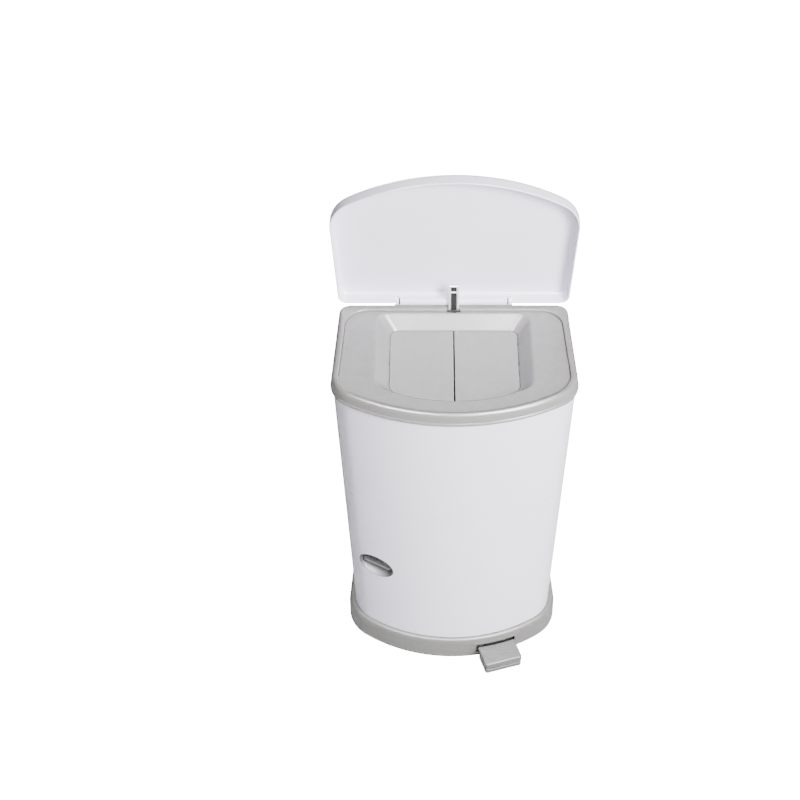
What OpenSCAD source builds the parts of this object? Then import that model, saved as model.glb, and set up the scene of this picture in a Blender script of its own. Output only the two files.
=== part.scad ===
// Pedal-operated nappy bin, D-shaped in plan, shown with its lid open.
// X runs to the right as seen from the front, the front faces -Y, +Z is up.
// The origin lies on the floor, under the middle of the bin's width and depth.

/* [Deck] */
// Width over the deck's skirt
deck_w = 350; // [300:1:420]
// Depth of the deck from its flat back to its front
deck_d = 238; // [225:1:290]
// Height of the deck's rim above the floor
deck_h = 520; // [480:1:640]
// Height of the deck's outer skirt
skirt_h = 20; // [16:1:30]
// How far the deck overhangs the body
deck_overhang = 3; // [2.6:0.1:5]
// Thickness of the deck's plates
deck_t = 3; // [2.4:0.1:4]

/* [Body] */
// Wall of the white body and door
wall = 3; // [2:0.1:4]
// How much narrower the body is at its foot, on each side
foot_in_x = 20; // [6:1:24]
// How far the front of the body leans in at its foot
foot_in_y = 4; // [0:1:10]
// Height of the top edge of the front door
door_top = 311.5; // [240:0.5:360]
// Gap round the front door
door_gap = 0.8; // [0.6:0.1:1.5]
// Where the door's side edges stand, forward or back of the middle
door_edge_y = 10; // [0:1:30]

/* [Base] */
// Height of the grey base ring
ring_h = 40; // [38:1:60]
// How far the ring stands out past the foot of the body
ring_flare = 10.5; // [6:0.5:12]
// Thickness of the rubber band under the base
band_t = 1.8; // [1.5:0.1:4]
// Width of the pedal's tread
pedal_w = 60; // [40:1:80]
// Length of tread that shows in front of the ring
pedal_reach = 39; // [30:1:60]
// Angle that the pedal is turned outwards
pedal_yaw = 17.5; // [0:0.5:22]
// Height of the tread's top when it is pressed
pedal_top = 24.5; // [22:0.5:26]

/* [Throat] */
// Width of the opening that the two flaps close
throat_w = 185; // [140:1:210]
// Depth of that opening, front to back
throat_d = 150; // [110:1:160]
// Distance from the deck's back edge to the opening
throat_back = 35; // [34:1:45]
// Slope of the hopper's sides, measured sideways
hopper_run = 18.5; // [10:0.5:20]
// Depth of the flaps below the deck's rim
flap_drop = 20; // [18:1:30]
// Thickness of each flap
flap_t = 2.4; // [2:0.1:3]
// Gap round each flap
flap_gap = 0.6; // [0.4:0.1:1]

/* [Lid] */
// Height of the lid's skirt
lid_h = 22; // [18:1:30]
// Wall of the lid
lid_t = 2.6; // [2:0.1:3.2]
// Angle between the closed lid and its open position
lid_open = 83; // [60:1:88]
// Length of the hinge barrel on the lid
barrel_l = 156; // [100:1:200]
// Radius of the hinge barrel
barrel_r = 5.8; // [5:0.1:6]
// Travel of the lifter beside the hinge
lift_travel = 26; // [25:0.5:26]

/* [Hidden] */
$fn = 48;
slab = 0.01;
fit = 0.3;          // gap between pieces that must not touch
run = 0.05;         // radial clearance of a running pin
y_back = deck_d / 2;
y_front = -deck_d / 2;

// Plan of the deck: a flat back, flaring sides and a bowed front.
deck_hw = deck_w / 2;
deck_back_hw = deck_hw - 6;
lid_back_hw = deck_hw - 6.5;
deck_bow_r = 290;
deck_corner_r = 52;
deck_back_r = 20;
lid_back_r = 14;

// Body: a loft between its foot on the ring and its top edge under the deck.
body_top = deck_h - 6.5;
body_back = y_back - deck_overhang;
body_hw = deck_hw - deck_overhang;
body_back_hw = deck_back_hw - deck_overhang;
foot_hw = body_hw - foot_in_x;
foot_back_hw = foot_hw - 8;
body_front = y_front + deck_overhang;
foot_front = body_front + foot_in_y;
body_bow_r = deck_bow_r - deck_overhang;
body_corner_r = deck_corner_r - deck_overhang;
body_back_r = deck_back_r - deck_overhang;
foot_bow_r = 222;
foot_corner_r = 57;
ring_hw = foot_hw + ring_flare;
ring_bow_r = 230;
ring_corner_r = 65;
door_bottom = ring_h + door_gap;
door_open_top = door_top + door_gap;
flange = 14;

// Door hinge: its axis follows the leaning side wall.
hinge_r = 4.4;
hinge_in = 4.5;
hinge_pin_r = 2;
hinge_pin_in = 16;
hinge_foot = [side_x(door_bottom) - hinge_in, door_edge_y, door_bottom];
hinge_head = [side_x(door_top) - hinge_in, door_edge_y, door_top];
hinge_len = norm(hinge_head - hinge_foot);
hinge_tilt = atan2(hinge_head[0] - hinge_foot[0], door_top - door_bottom);

// Grip in the door: an oval cup on the front left.
grip_x = foot_hw - 35;
grip_z = ring_h + 134;
grip_at = [-grip_x, front_y(grip_x, grip_z), grip_z];
grip_turn = -atan((front_y(grip_x + 20, grip_z) - front_y(grip_x - 20, grip_z)) / 40);
grip_a = 30;
grip_b = 21;
grip_deep = 15;
grip_wall = 2;

// Hopper and throat.
throat_hw = throat_w / 2;
throat_y1 = y_back - throat_back;
throat_y0 = throat_y1 - throat_d;
throat_bow_r = 210;
throat_z = deck_h - flap_drop;
inner_z = deck_h - 3.5;             // top of the inner deck
inner_in = 12.6;                    // inner deck's edge, in from the skirt
hopper_back = 19.5;                 // slope of the hopper's back, measured backwards
lip_t = 2.5;
chute_gap = 6.1;                    // throat to the chute's inner wall, at the sides and back
chute_front = 15;                   // and at the front, where the flaps' bowed edges swing
chute_t = 2.4;
chute_h = 92;
pivot_out = 2.7;                    // flap pivot, out from the throat's edge
pivot_drop = 5.6;                   // flap pivot, below the throat's top
flap_pin_r = 1.5;
knuckle_r = 2.7;
flap_ear_r = 2.9;

// Liner cassette on its shelf: a ring-shaped tray round the chute.
shelf_z = deck_h - 92;
shelf_t = 3;
cassette_h = 30;
cassette_t = 1.6;
cassette_w = 28;                    // width of the ring at the sides
cassette_w_front = 20;
cassette_w_back = 8.5;
chute_air = 3;                      // chute to cassette, at the sides and front
chute_air_back = 1;

// Thickness of the base cover and of the pedal's lever.
cover_t = 2.4;
lever_t = 3;

// Lifter and its rod, in a duct on the back wall.
slot_y = body_back - wall;          // inner face of the back wall
chan_w = 16;
chan_d = 5.2;
chan_t = 1.4;
chan_y1 = slot_y - 0.6;
chan_rise = 42;                     // lifter above the rim when it is up
chan_len = 122;
slot_hw = chan_w / 2 + 3.4;
rod_r = 2.5;
rod_y = chan_y1 - chan_t - rod_r - 0.1;
rod_foot = band_t + cover_t + lever_t + 2.6 + lift_travel;
rod_head = deck_h - 42;
duct_w = 24;
duct_t = 1.5;
duct_y0 = rod_y - rod_r - 2.9;

// Lid hinge.
axis_y = y_back + 0.3;
axis_z = deck_h + barrel_r + 0.5;
lid_z = deck_h + 1;
ear_t = 4;
ear_x = barrel_l / 2 + 2;
lid_pin_r = 2;
notch_x = ear_x + ear_t + 2;
notch_z = axis_z + 6.7;

// Pedal: its lever runs from under the rod to the ring's front face.
bow_to_rod = rod_y - (y_front + ring_bow_r);
face_at = bow_to_rod * cos(pedal_yaw) + sqrt(pow(ring_bow_r, 2) - pow(bow_to_rod * sin(pedal_yaw), 2));
face_l = 22;                        // pedal pivot to the ring's face
ring_wall = 3;
pivot_l = face_at - face_l;         // rod to pedal pivot, along the lever
pivot_z = 14;
tread_y = -(face_l + pedal_reach);  // front edge of the tread from the pivot
tread_split = 12;                   // underside of the upper tread
plate_top = tread_split - lever_t;
plate_bottom = 3.5;
pedal_pin_r = 3;
pivot_at = [pivot_l * sin(pedal_yaw), rod_y - pivot_l * cos(pedal_yaw), pivot_z];
cover_z = band_t;
roof_t = 3;
slot_top = pivot_z + 14.6;
pedal_in = face_l - 12;             // inner end of the slot, from the pivot
pad_in = face_l - 8;                // inner end of the tread
eye_w = 24;
eye_r = 6;
ear_gap = 1;
bracket_t = 3;
arm_w = 16;

white = [0.93, 0.93, 0.95];
light_grey = [0.71, 0.70, 0.69];
base_grey = [0.66, 0.64, 0.63];
steel = [0.75, 0.76, 0.78];

// ---- outlines ----

function arc(c, r, a0, a1, n, first = 1) =
    [for (i = [first:n]) let(a = a0 + (a1 - a0) * i / n) [c[0] + r * cos(a), c[1] + r * sin(a)]];

// D-shaped outline: half widths at the widest and at the back, back and front edges, and the radii of
// the bowed front, the front corners and the back corners; e moves it all inwards.
function d_outline(hw, back_hw, yb, yf, rf, rc, rb, e = 0) =
    let(bow = [0, yf + rf],
        corner = [hw - rc, bow[1] - sqrt(pow(rf - rc, 2) - pow(hw - rc, 2))],
        heel = [back_hw - rb, yb - rb],
        a1 = atan2(corner[1] - bow[1], corner[0]),
        d = heel - corner,
        a2 = atan2(d[1], d[0]) - acos((rc - rb) / norm(d)),
        half = concat(arc(bow, rf - e, -90, a1, 9, 0), arc(corner, rc - e, a1, a2, 8),
            arc(heel, rb - e, a2, 90, 5, 0)))
    concat(half, [for (i = [len(half) - 1:-1:1]) [-half[i][0], half[i][1]]]);

// Where such an outline's front lies at a distance x from the middle.
function outline_front(hw, yf, rf, rc, x) =
    let(cx = hw - rc, cy = yf + rf - sqrt(pow(rf - rc, 2) - pow(cx, 2)))
    x < rf * cx / (rf - rc) ? yf + rf - sqrt(rf * rf - x * x) : cy - sqrt(rc * rc - pow(x - cx, 2));
// How far from the middle its straight side lies, at a given y.
function outline_side(hw, back_hw, yb, yf, rf, rc, rb, y) =
    let(corner = [hw - rc, yf + rf - sqrt(pow(rf - rc, 2) - pow(hw - rc, 2))],
        d = [back_hw - rb, yb - rb] - corner,
        a = atan2(d[1], d[0]) - acos((rc - rb) / norm(d)))
    (corner * [cos(a), sin(a)] + rc - y * sin(a)) / cos(a);

function deck_plan(e = 0) =
    d_outline(deck_hw, deck_back_hw, y_back, y_front, deck_bow_r, deck_corner_r, deck_back_r, e);
function lid_plan(e = 0) =
    d_outline(deck_hw, lid_back_hw, y_back, y_front, deck_bow_r, deck_corner_r, lid_back_r, e);
function inner_plan(e = 0) =
    d_outline(deck_hw - inner_in, deck_back_hw - inner_in - 1, y_back - inner_in, y_front + inner_in - 2,
        deck_bow_r - inner_in, deck_corner_r - inner_in + 4, 32, e);
function body_plan(e = 0) =
    d_outline(body_hw, body_back_hw, body_back, body_front, body_bow_r, body_corner_r, body_back_r, e);
function foot_plan(e = 0) =
    d_outline(foot_hw, foot_back_hw, body_back, foot_front, foot_bow_r, foot_corner_r, 10, e);
// The body's side and front surfaces at a height z: straight between its foot and its top edge.
function rise(z) = (z - ring_h) / (body_top - ring_h);
function side_x(z) =
    let(y = door_edge_y, t = rise(z),
        foot = outline_side(foot_hw, foot_back_hw, body_back, foot_front, foot_bow_r, foot_corner_r, 10, y),
        top = outline_side(body_hw, body_back_hw, body_back, body_front, body_bow_r, body_corner_r, body_back_r, y))
    foot * (1 - t) + top * t;
function front_y(x, z) =
    let(t = rise(z),
        foot = outline_front(foot_hw, foot_front, foot_bow_r, foot_corner_r, x),
        top = outline_front(body_hw, body_front, body_bow_r, body_corner_r, x))
    foot * (1 - t) + top * t;
function ring_plan(e = 0) =
    d_outline(ring_hw, ring_hw - 8, y_back, y_front, ring_bow_r, ring_corner_r, 14, e);
function ring_front(x) = outline_front(ring_hw, y_front, ring_bow_r, ring_corner_r, x);
// Throat and everything concentric with it: out is the distance outside the throat's edge.
function throat_plan(out_x, out_b = undef, out_f = undef, rb = 9, rc = 8) =
    let(b = is_undef(out_b) ? out_x : out_b, f = is_undef(out_f) ? out_x : out_f)
    d_outline(throat_hw + out_x, throat_hw + out_x, throat_y1 + b, throat_y0 - f, throat_bow_r, rc, rb);
function ellipse(a, b, n = 32) = [for (i = [0:n - 1]) [a * cos(360 * i / n), b * sin(360 * i / n)]];

module plate(points, z0, z1) translate([0, 0, z0]) linear_extrude(height = z1 - z0) polygon(points);

// Solid filling the body's outer form, moved in by e.
module body_loft(e = 0) {
    hull() {
        plate(foot_plan(e), ring_h, ring_h + slab);
        plate(body_plan(e), body_top - slab, body_top);
    }
}
module body_slice(z0, z1, e = 0) {
    intersection() {
        body_loft(e);
        translate([-deck_w, -deck_w, z0]) cube([2 * deck_w, 2 * deck_w, z1 - z0]);
    }
}
module along_door_hinge() translate(hinge_foot) rotate([0, hinge_tilt, 0]) children();
module at_grip() translate(grip_at) rotate([0, 0, grip_turn]) children();
module at_pedal() translate(pivot_at) rotate([0, 0, pedal_yaw]) children();
module at_hinge() translate([0, axis_y, axis_z]) children();
module at_lid() at_hinge() rotate([-lid_open, 0, 0]) translate([0, -axis_y, -axis_z]) children();
module at_left_flap() translate([-throat_hw - pivot_out, 0, throat_z - pivot_drop]) children();
module both_sides() for (s = [0, 1]) mirror([s, 0, 0]) children();
module x_rod(r, x0, x1) translate([x0, 0, 0]) rotate([0, 90, 0]) cylinder(r = r, h = x1 - x0);
module y_rod(r, y0, y1) translate([0, y1, 0]) rotate([90, 0, 0]) cylinder(r = r, h = y1 - y0);
module box(x0, x1, y0, y1, z0, z1) translate([x0, y0, z0]) cube([x1 - x0, y1 - y0, z1 - z0]);

// ---- base ----

screw_in = 49;                      // cover screws, in from the ring's flat back
screw_in_front = 30;                // and from its bowed front
screw_x = foot_hw - 66;
cover_screws_at = [[-60, y_back - screw_in], [60, y_back - screw_in],
    [-screw_x, ring_front(screw_x) + screw_in_front],
    [-foot_hw + 16, door_edge_y], [foot_hw - 16, door_edge_y]];

module base_ring() color(base_grey) difference() {
    hull() {
        plate(ring_plan(), 1.5, ring_h - 9);
        plate(ring_plan(2), ring_h - 4, ring_h - 3);
        plate(ring_plan(5), ring_h - slab, ring_h);
    }
    difference() {
        plate(ring_plan(ring_wall), 0, ring_h - roof_t);
        for (p = cover_screws_at) translate([p[0], p[1], 0]) cylinder(r = 4, h = ring_h);
    }
    for (p = cover_screws_at) translate([p[0], p[1], -1]) cylinder(r = 1.5, h = 20);
    plate(ring_plan(ring_wall - 0.2), 0, cover_z + cover_t);
    at_pedal() box(-pedal_w / 2 - 1.5, pedal_w / 2 + 1.5, tread_y, -pedal_in, -pivot_z - 1,
        slot_top - pivot_z);
    translate([0, rod_y, ring_h - 5]) cylinder(r = rod_r + 0.7, h = 10);
    along_door_hinge() translate([0, 0, -10]) cylinder(r = hinge_pin_r + 0.02, h = 12);
}

module base_cover() color([0.60, 0.59, 0.58]) difference() {
    plate(ring_plan(ring_wall + 0.1), cover_z, cover_z + cover_t);
    at_pedal() box(-pedal_w / 2 - 3, pedal_w / 2 + 3, tread_y, -pad_in + 1, -pivot_z - 1, 0);
    for (p = cover_screws_at) translate([p[0], p[1], 0]) cylinder(r = 1.7, h = 10);
}

// Rubber band that the bin stands on, open under the pedal.
module foot_band() color([0.25, 0.25, 0.25]) difference() {
    plate(ring_plan(5), 0, band_t);
    plate(ring_plan(12.5), -1, band_t + 1);
    at_pedal() box(-pedal_w / 2 - 3, pedal_w / 2 + 3, tread_y, 0, -pivot_z - 1, 0);
}

module base_screws() color(steel) for (p = cover_screws_at) translate([p[0], p[1], cover_z - 1.2]) {
    cylinder(r = 3.2, h = 1.2);
    cylinder(r = 1.45, h = 16);
}

ear_x0 = eye_w / 2 + ear_gap;
module pedal_bracket() color(steel) at_pedal() difference() {
    union() {
        box(-22, 22, -12, 12, cover_z + cover_t - pivot_z, cover_z + cover_t + 2 - pivot_z);
        both_sides() {
            box(ear_x0, ear_x0 + bracket_t, -eye_r - 2, eye_r + 2, cover_z + cover_t - pivot_z, 0);
            x_rod(eye_r + 2, ear_x0, ear_x0 + bracket_t);
        }
    }
    x_rod(pedal_pin_r + run, -30, 30);
}

module pedal_pin() color(steel) at_pedal() {
    x_rod(pedal_pin_r, -ear_x0 - bracket_t - 2, ear_x0 + bracket_t + 2);
    x_rod(pedal_pin_r + 1.5, ear_x0 + bracket_t, ear_x0 + bracket_t + 2);
}

module pedal_lever() color(steel) at_pedal() {
    end = pivot_l + 3;
    end_top = rod_foot - fit - pivot_z;
    difference() {
        union() {
            x_rod(eye_r, -eye_w / 2, eye_w / 2);
            box(-eye_w / 2, eye_w / 2, -pad_in, 0, plate_top - pivot_z, plate_top - pivot_z + lever_t);
            box(-pedal_w / 2 + 2.5, pedal_w / 2 - 2.5, tread_y + 2.5, -pad_in, plate_top - pivot_z,
                plate_top - pivot_z + lever_t);
            // arm from the pivot up to the rod's foot
            translate([arm_w / 2, 0, 0]) rotate([90, 0, -90]) linear_extrude(height = arm_w)
                polygon([[0, -3], [-end, end_top - lever_t], [-end, end_top],
                    [-pivot_l + 6, end_top], [0, 4]]);
        }
        x_rod(pedal_pin_r + run, -30, 30);
    }
}

module pedal_pad() color(base_grey) at_pedal() {
    top = pedal_top - pivot_z;
    bottom = tread_split - pivot_z;
    hw = pedal_w / 2;
    difference() {
        intersection() {
            box(-hw, hw, tread_y, -pad_in, bottom, top);
            translate([hw, 0, 0]) rotate([90, 0, -90]) linear_extrude(height = pedal_w)
                polygon([[pad_in - 1, bottom], [-tread_y, bottom], [-tread_y, top - 3],
                    [-tread_y - 1, top - 0.9], [-tread_y - 3, top], [pad_in - 1, top]]);
        }
        for (y = [tread_y + 6:4:-face_l - 2]) box(-hw + 5, hw - 5, y, y + 1.2, top - 0.6, top + 1);
    }
}

module pedal_plate() color(base_grey) at_pedal() translate([0, 0, -pivot_z])
    box(-pedal_w / 2 + 1, pedal_w / 2 - 1, tread_y + 1, -face_l - 3, plate_bottom, plate_top);

// ---- lifter ----

module lift_rod() color(steel)
    translate([0, rod_y, rod_foot]) cylinder(r = rod_r, h = rod_head - rod_foot);

module lid_lifter() color([0.82, 0.83, 0.85]) {
    top = deck_h + chan_rise;
    foot = top - chan_len;
    hw = chan_w / 2;
    difference() {
        box(-hw, hw, chan_y1 - chan_d, chan_y1, foot, top);
        box(-hw + chan_t, hw - chan_t, chan_y1 - chan_d - 1, chan_y1 - chan_t, foot - 1, top - chan_t);
    }
}

module rod_guides() color(light_grey) for (z = [ring_h + 80, deck_h - 140]) difference() {
    box(-9, 9, duct_y0 + duct_t + 0.2, slot_y, z, z + 8);
    translate([0, rod_y, z - 1]) cylinder(r = rod_r + run, h = 10);
}

module rod_cover() color(white) difference() {
    box(-duct_w / 2, duct_w / 2, duct_y0, slot_y, ring_h, shelf_z);
    box(-duct_w / 2 + duct_t, duct_w / 2 - duct_t, duct_y0 + duct_t, slot_y + 1, ring_h - 1, shelf_z + 1);
}

// ---- body and door ----

jamb_right = door_edge_y + hinge_in + door_gap + 0.1;
jamb_left = door_edge_y + door_gap;
jamb_in = side_x(door_top) - wall - flange;

module doorway() {
    box(-deck_w, 0, -deck_w, jamb_left, ring_h - 1, door_open_top);
    box(0, deck_w, -deck_w, jamb_right, ring_h - 1, door_open_top);
}

module body_shell() color(white) difference() {
    union() {
        difference() {
            body_loft();
            body_loft(wall);
            plate(foot_plan(wall), ring_h - 1, ring_h + 1);
            plate(body_plan(wall), body_top - 1, body_top + 1);
        }
        // foot flange, door lintel and the two jambs
        difference() {
            union() {
                body_slice(ring_h, ring_h + wall, wall - 0.2);
                body_slice(door_open_top, door_open_top + wall, wall - 0.2);
            }
            body_slice(ring_h - 1, door_open_top + 10, wall + flange - 5);
            box(-deck_w, deck_w, jamb_right, deck_w, door_open_top - 1, door_open_top + 10);
        }
        difference() {
            body_slice(ring_h, door_open_top + 1, wall - 0.2);
            box(-jamb_in, jamb_in, -deck_w, deck_w, 0, deck_h);
            box(-deck_w, 0, -deck_w, jamb_left, 0, deck_h);
            box(0, deck_w, -deck_w, jamb_right, 0, deck_h);
            box(-deck_w, 0, jamb_left + wall, deck_w, 0, deck_h);
            box(0, deck_w, jamb_right + wall, deck_w, 0, deck_h);
        }
    }
    doorway();
    along_door_hinge() translate([0, 0, hinge_len - 2]) cylinder(r = hinge_pin_r + 0.02, h = 12);
    box(-duct_w / 2 - 1, duct_w / 2 + 1, duct_y0 - 1, slot_y, ring_h - 1, ring_h + wall + 1);
}

module front_door() color(white) difference() {
    union() {
        difference() {
            body_slice(door_bottom, door_top);
            body_loft(wall);
            box(-deck_w, deck_w, door_edge_y, deck_w, 0, deck_h);
        }
        along_door_hinge() translate([0, 0, 0.2]) cylinder(r = hinge_r, h = hinge_len - 0.4);
    }
    at_grip() translate([0, 30, 0]) rotate([90, 0, 0]) linear_extrude(height = 80)
        polygon(ellipse(grip_a + 0.2, grip_b + 0.2));
    along_door_hinge() {
        translate([0, 0, -1]) cylinder(r = hinge_pin_r + run, h = hinge_pin_in + 1);
        translate([0, 0, hinge_len - hinge_pin_in]) cylinder(r = hinge_pin_r + run, h = hinge_pin_in + 1);
    }
}

module door_hinge_pins() color(steel) along_door_hinge() {
    pin_l = hinge_pin_in + door_gap + 2;
    translate([0, 0, -door_gap - 2.6]) cylinder(r = hinge_pin_r, h = pin_l);
    translate([0, 0, hinge_len - hinge_pin_in + 0.6]) cylinder(r = hinge_pin_r, h = pin_l);
}

module door_grip_cup() color([0.55, 0.54, 0.53]) difference() {
    intersection() {
        body_slice(ring_h + 50, door_top - 40);
        at_grip() translate([0, grip_deep + grip_wall, 0]) rotate([90, 0, 0]) linear_extrude(height = 80)
            polygon(ellipse(grip_a, grip_b));
    }
    at_grip() translate([0, grip_deep, 0]) rotate([90, 0, 0]) linear_extrude(height = 80)
        polygon(ellipse(grip_a - grip_wall, grip_b - grip_wall));
    at_grip() translate([0, grip_deep - 5, 0]) x_rod(1.2 + run, -grip_a + 1, grip_a - 1);
}

module door_latch_paddle() color([0.62, 0.61, 0.60]) at_grip() {
    box(-22, 22, 2.5, grip_deep - 5, -1.8, 1.8);
    translate([0, grip_deep - 5, 0]) {
        x_rod(2.4, -22, 22);
        x_rod(1.2, -grip_a + 3, grip_a - 3);
    }
}

catch_z = grip_at[2];
catch_x = -side_x(catch_z) + wall;
module door_catch() color(light_grey) intersection() {
    translate([catch_x, door_edge_y, catch_z]) difference() {
        box(0, 9, -22, door_gap - 0.4, -11, 11);
        box(3.3, 12, -16, -3, -12, 12);
    }
    body_slice(catch_z - 12, catch_z + 12, wall + fit);
}
module door_keeper() color(steel) translate([catch_x, jamb_left + wall, catch_z])
    box(1.5, flange - 2, 0, 1.5, -14, 14);

// ---- deck, hopper and flaps ----

module deck_rim() color(light_grey) difference() {
    hull() {
        plate(deck_plan(), deck_h - skirt_h, deck_h - 5);
        plate(deck_plan(1.5), deck_h - 2, deck_h - 1.5);
        plate(deck_plan(4), deck_h - slab, deck_h);
    }
    // step down to the inner deck
    hull() {
        plate(inner_plan(-3.5), deck_h, deck_h + 1);
        plate(inner_plan(-1.5), inner_z, deck_h);
    }
    // room for the body's top edge and the inner deck on its ledge
    plate(deck_plan(deck_overhang - fit), deck_h - skirt_h - 1, body_top);
    plate(inner_plan(), inner_z - deck_t, deck_h);
    plate(inner_plan(4), body_top - 1, deck_h);
    // slot for the lifter
    box(-slot_hw, slot_hw, y_back - inner_in - 4, slot_y, deck_h - skirt_h - 1, deck_h + 1);
}

module hopper_deck() color(light_grey) difference() {
    union() {
        plate(inner_plan(fit), inner_z - deck_t, inner_z);
        hull() {
            plate(throat_plan(hopper_run + 2.4, hopper_back - 2, hopper_run + 2, 24, 22),
                inner_z - deck_t, inner_z - 1);
            plate(chute_plan(chute_t), throat_z - lip_t, throat_z);
        }
        both_sides() at_left_flap() for (y = [throat_y0 + 27, throat_y0 + 82, throat_y1 - 9]) {
            y_rod(flap_ear_r, y, y + 4);
            box(-flap_ear_r, flap_ear_r, y, y + 4, 0, pivot_drop - 1);
        }
    }
    hull() {
        plate(throat_plan(hopper_run, hopper_back, hopper_run, 24, 22), inner_z, inner_z + 1);
        plate(throat_plan(0), throat_z, throat_z + slab);
    }
    plate(throat_plan(0), throat_z - lip_t - 6, throat_z + 1);
    both_sides() at_left_flap() y_rod(flap_pin_r + 0.02, throat_y0, throat_y1 + 5);
}

// Left flap; the right one is its mirror image.
flap_z = throat_z - 0.2;
knuckle_w = 16;
module flap() difference() {
    union() {
        intersection() {
            plate(throat_plan(-flap_gap, -flap_gap, -flap_gap, 8.4, 7.4), flap_z - flap_t, flap_z);
            box(-throat_hw, -1, -deck_d, deck_d, 0, deck_h);
        }
        // two knuckles, each on an arm under the throat's lip
        at_left_flap() for (y = [throat_y0 + 32, throat_y1 - 26]) {
            y_rod(knuckle_r, y, y + knuckle_w);
            box(0, pivot_out + 7, y, y + knuckle_w, 0, pivot_drop - lip_t - 0.4);
            box(pivot_out + flap_gap, pivot_out + 7, y, y + knuckle_w, 0, pivot_drop - 0.2 - flap_t);
        }
    }
    at_left_flap() y_rod(flap_pin_r + run, throat_y0, throat_y1 + 5);
}
module left_flap() color(light_grey) flap();
module right_flap() color(light_grey) mirror([1, 0, 0]) flap();

module flap_pins() color(steel)
    both_sides() at_left_flap() y_rod(flap_pin_r, throat_y0 + 26, throat_y1 - 4);

// Torsion springs round the pins, each drawn as a row of rings.
module flap_springs() color(steel) both_sides() at_left_flap() for (i = [0:5])
    translate([0, throat_y0 + 90 + 1.3 * i, 0]) rotate([90, 0, 0])
        rotate_extrude($fn = 24) translate([2.1, 0]) circle(r = 0.5, $fn = 14);

function chute_plan(out) = throat_plan(chute_gap + out, chute_gap + out, chute_front + out);
module chute() color([0.88, 0.88, 0.89]) difference() {
    plate(chute_plan(chute_t), throat_z - lip_t - chute_h, throat_z - lip_t);
    plate(chute_plan(0), throat_z - lip_t - chute_h - 1, throat_z);
}

// ---- liner cassette and cutter ----

// Plans of the cassette's hole, out from its edge, and of its outer rim, in from its edge.
hole_side = chute_gap + chute_t + chute_air;
hole_back = chute_gap + chute_t + chute_air_back;
hole_front = chute_front + chute_t + chute_air;
function hole_plan(out) =
    throat_plan(hole_side + out, hole_back + out, hole_front + out, 10 + out, 11 + out);
function cassette_plan(e = 0) = throat_plan(hole_side + cassette_w - e, hole_back + cassette_w_back - e,
    hole_front + cassette_w_front - e, 26, 30);
cassette_z = shelf_z + shelf_t;
cassette_top = cassette_z + cassette_h;

module liner_shelf() color([0.85, 0.85, 0.86]) difference() {
    body_slice(shelf_z, shelf_z + shelf_t, wall + fit);
    plate(hole_plan(-0.5), shelf_z - 1, shelf_z + shelf_t + 1);
    box(-duct_w / 2 - 1, duct_w / 2 + 1, duct_y0 - 1, deck_d, shelf_z - 1, shelf_z + shelf_t + 1);
}

module cassette_tray() color([0.80, 0.86, 0.90]) difference() {
    plate(cassette_plan(), cassette_z, cassette_top);
    plate(hole_plan(0), cassette_z - 1, cassette_top + 1);
    difference() {
        plate(cassette_plan(cassette_t), cassette_z + cassette_t, cassette_top + 1);
        plate(hole_plan(cassette_t), cassette_z, cassette_top + 1);
    }
}

module cassette_film() color([0.75, 0.83, 0.88, 0.9]) difference() {
    plate(cassette_plan(cassette_t + fit), cassette_z + cassette_t, cassette_top - 5);
    plate(hole_plan(cassette_t + fit), cassette_z, cassette_top);
}

module cassette_cover() color([0.80, 0.86, 0.90]) difference() {
    plate(cassette_plan(), cassette_top, cassette_top + 2);
    plate(hole_plan(3.5), cassette_z, cassette_top + 3);
}

cutter_z = door_open_top + 8;
cutter_y = body_front + wall + 17;
module cutter_rail() color(white) difference() {
    intersection() {
        body_slice(cutter_z, cutter_z + 14, wall + fit);
        box(-75, 75, -deck_d, cutter_y, 0, deck_h);
    }
    box(-72, 72, cutter_y - 5, cutter_y + 1, cutter_z + 4, cutter_z + 10);
}
module cutter_slider() color([0.55, 0.54, 0.53]) {
    box(-9, 9, cutter_y + 0.4, cutter_y + 7, cutter_z, cutter_z + 14);
    box(-8, 8, cutter_y - 4.6, cutter_y + 1, cutter_z + 4.4, cutter_z + 9.6);
}
module cutter_blade() color(steel) translate([0, cutter_y + 4, cutter_z]) rotate([90, 0, 0])
    linear_extrude(height = 0.8) polygon([[-7, 0], [-7, -8], [7, -15], [7, 0]]);

// ---- lid ----

module lid_shell() color(white) at_lid() difference() {
    hull() {
        plate(lid_plan(), lid_z, lid_z + lid_h - 9);
        plate(lid_plan(1.5), lid_z + lid_h - 4, lid_z + lid_h - 3.5);
        plate(lid_plan(6), lid_z + lid_h - slab, lid_z + lid_h);
    }
    hull() {
        plate(lid_plan(lid_t), lid_z - 1, lid_z + lid_h - 9);
        plate(lid_plan(lid_t + 4), lid_z + lid_h - lid_t - slab, lid_z + lid_h - lid_t);
    }
    box(-notch_x, notch_x, y_back - lid_t - 1, y_back + 1, lid_z - 1, notch_z);
}

module lid_hinge_barrel() color(white) at_lid() {
    difference() {
        union() {
            at_hinge() x_rod(barrel_r, -barrel_l / 2, barrel_l / 2);
            box(-barrel_l / 2, barrel_l / 2, y_back - lid_t, y_back, axis_z, notch_z);
        }
        both_sides() at_hinge() x_rod(lid_pin_r + run, barrel_l / 2 - 18, barrel_l / 2 + 1);
    }
}

module lid_hinge_pins() color(steel) at_hinge() both_sides() {
    x_rod(lid_pin_r, barrel_l / 2 - 17, ear_x + ear_t);
    x_rod(lid_pin_r + 1, ear_x + ear_t, ear_x + ear_t + 1);
}

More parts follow.
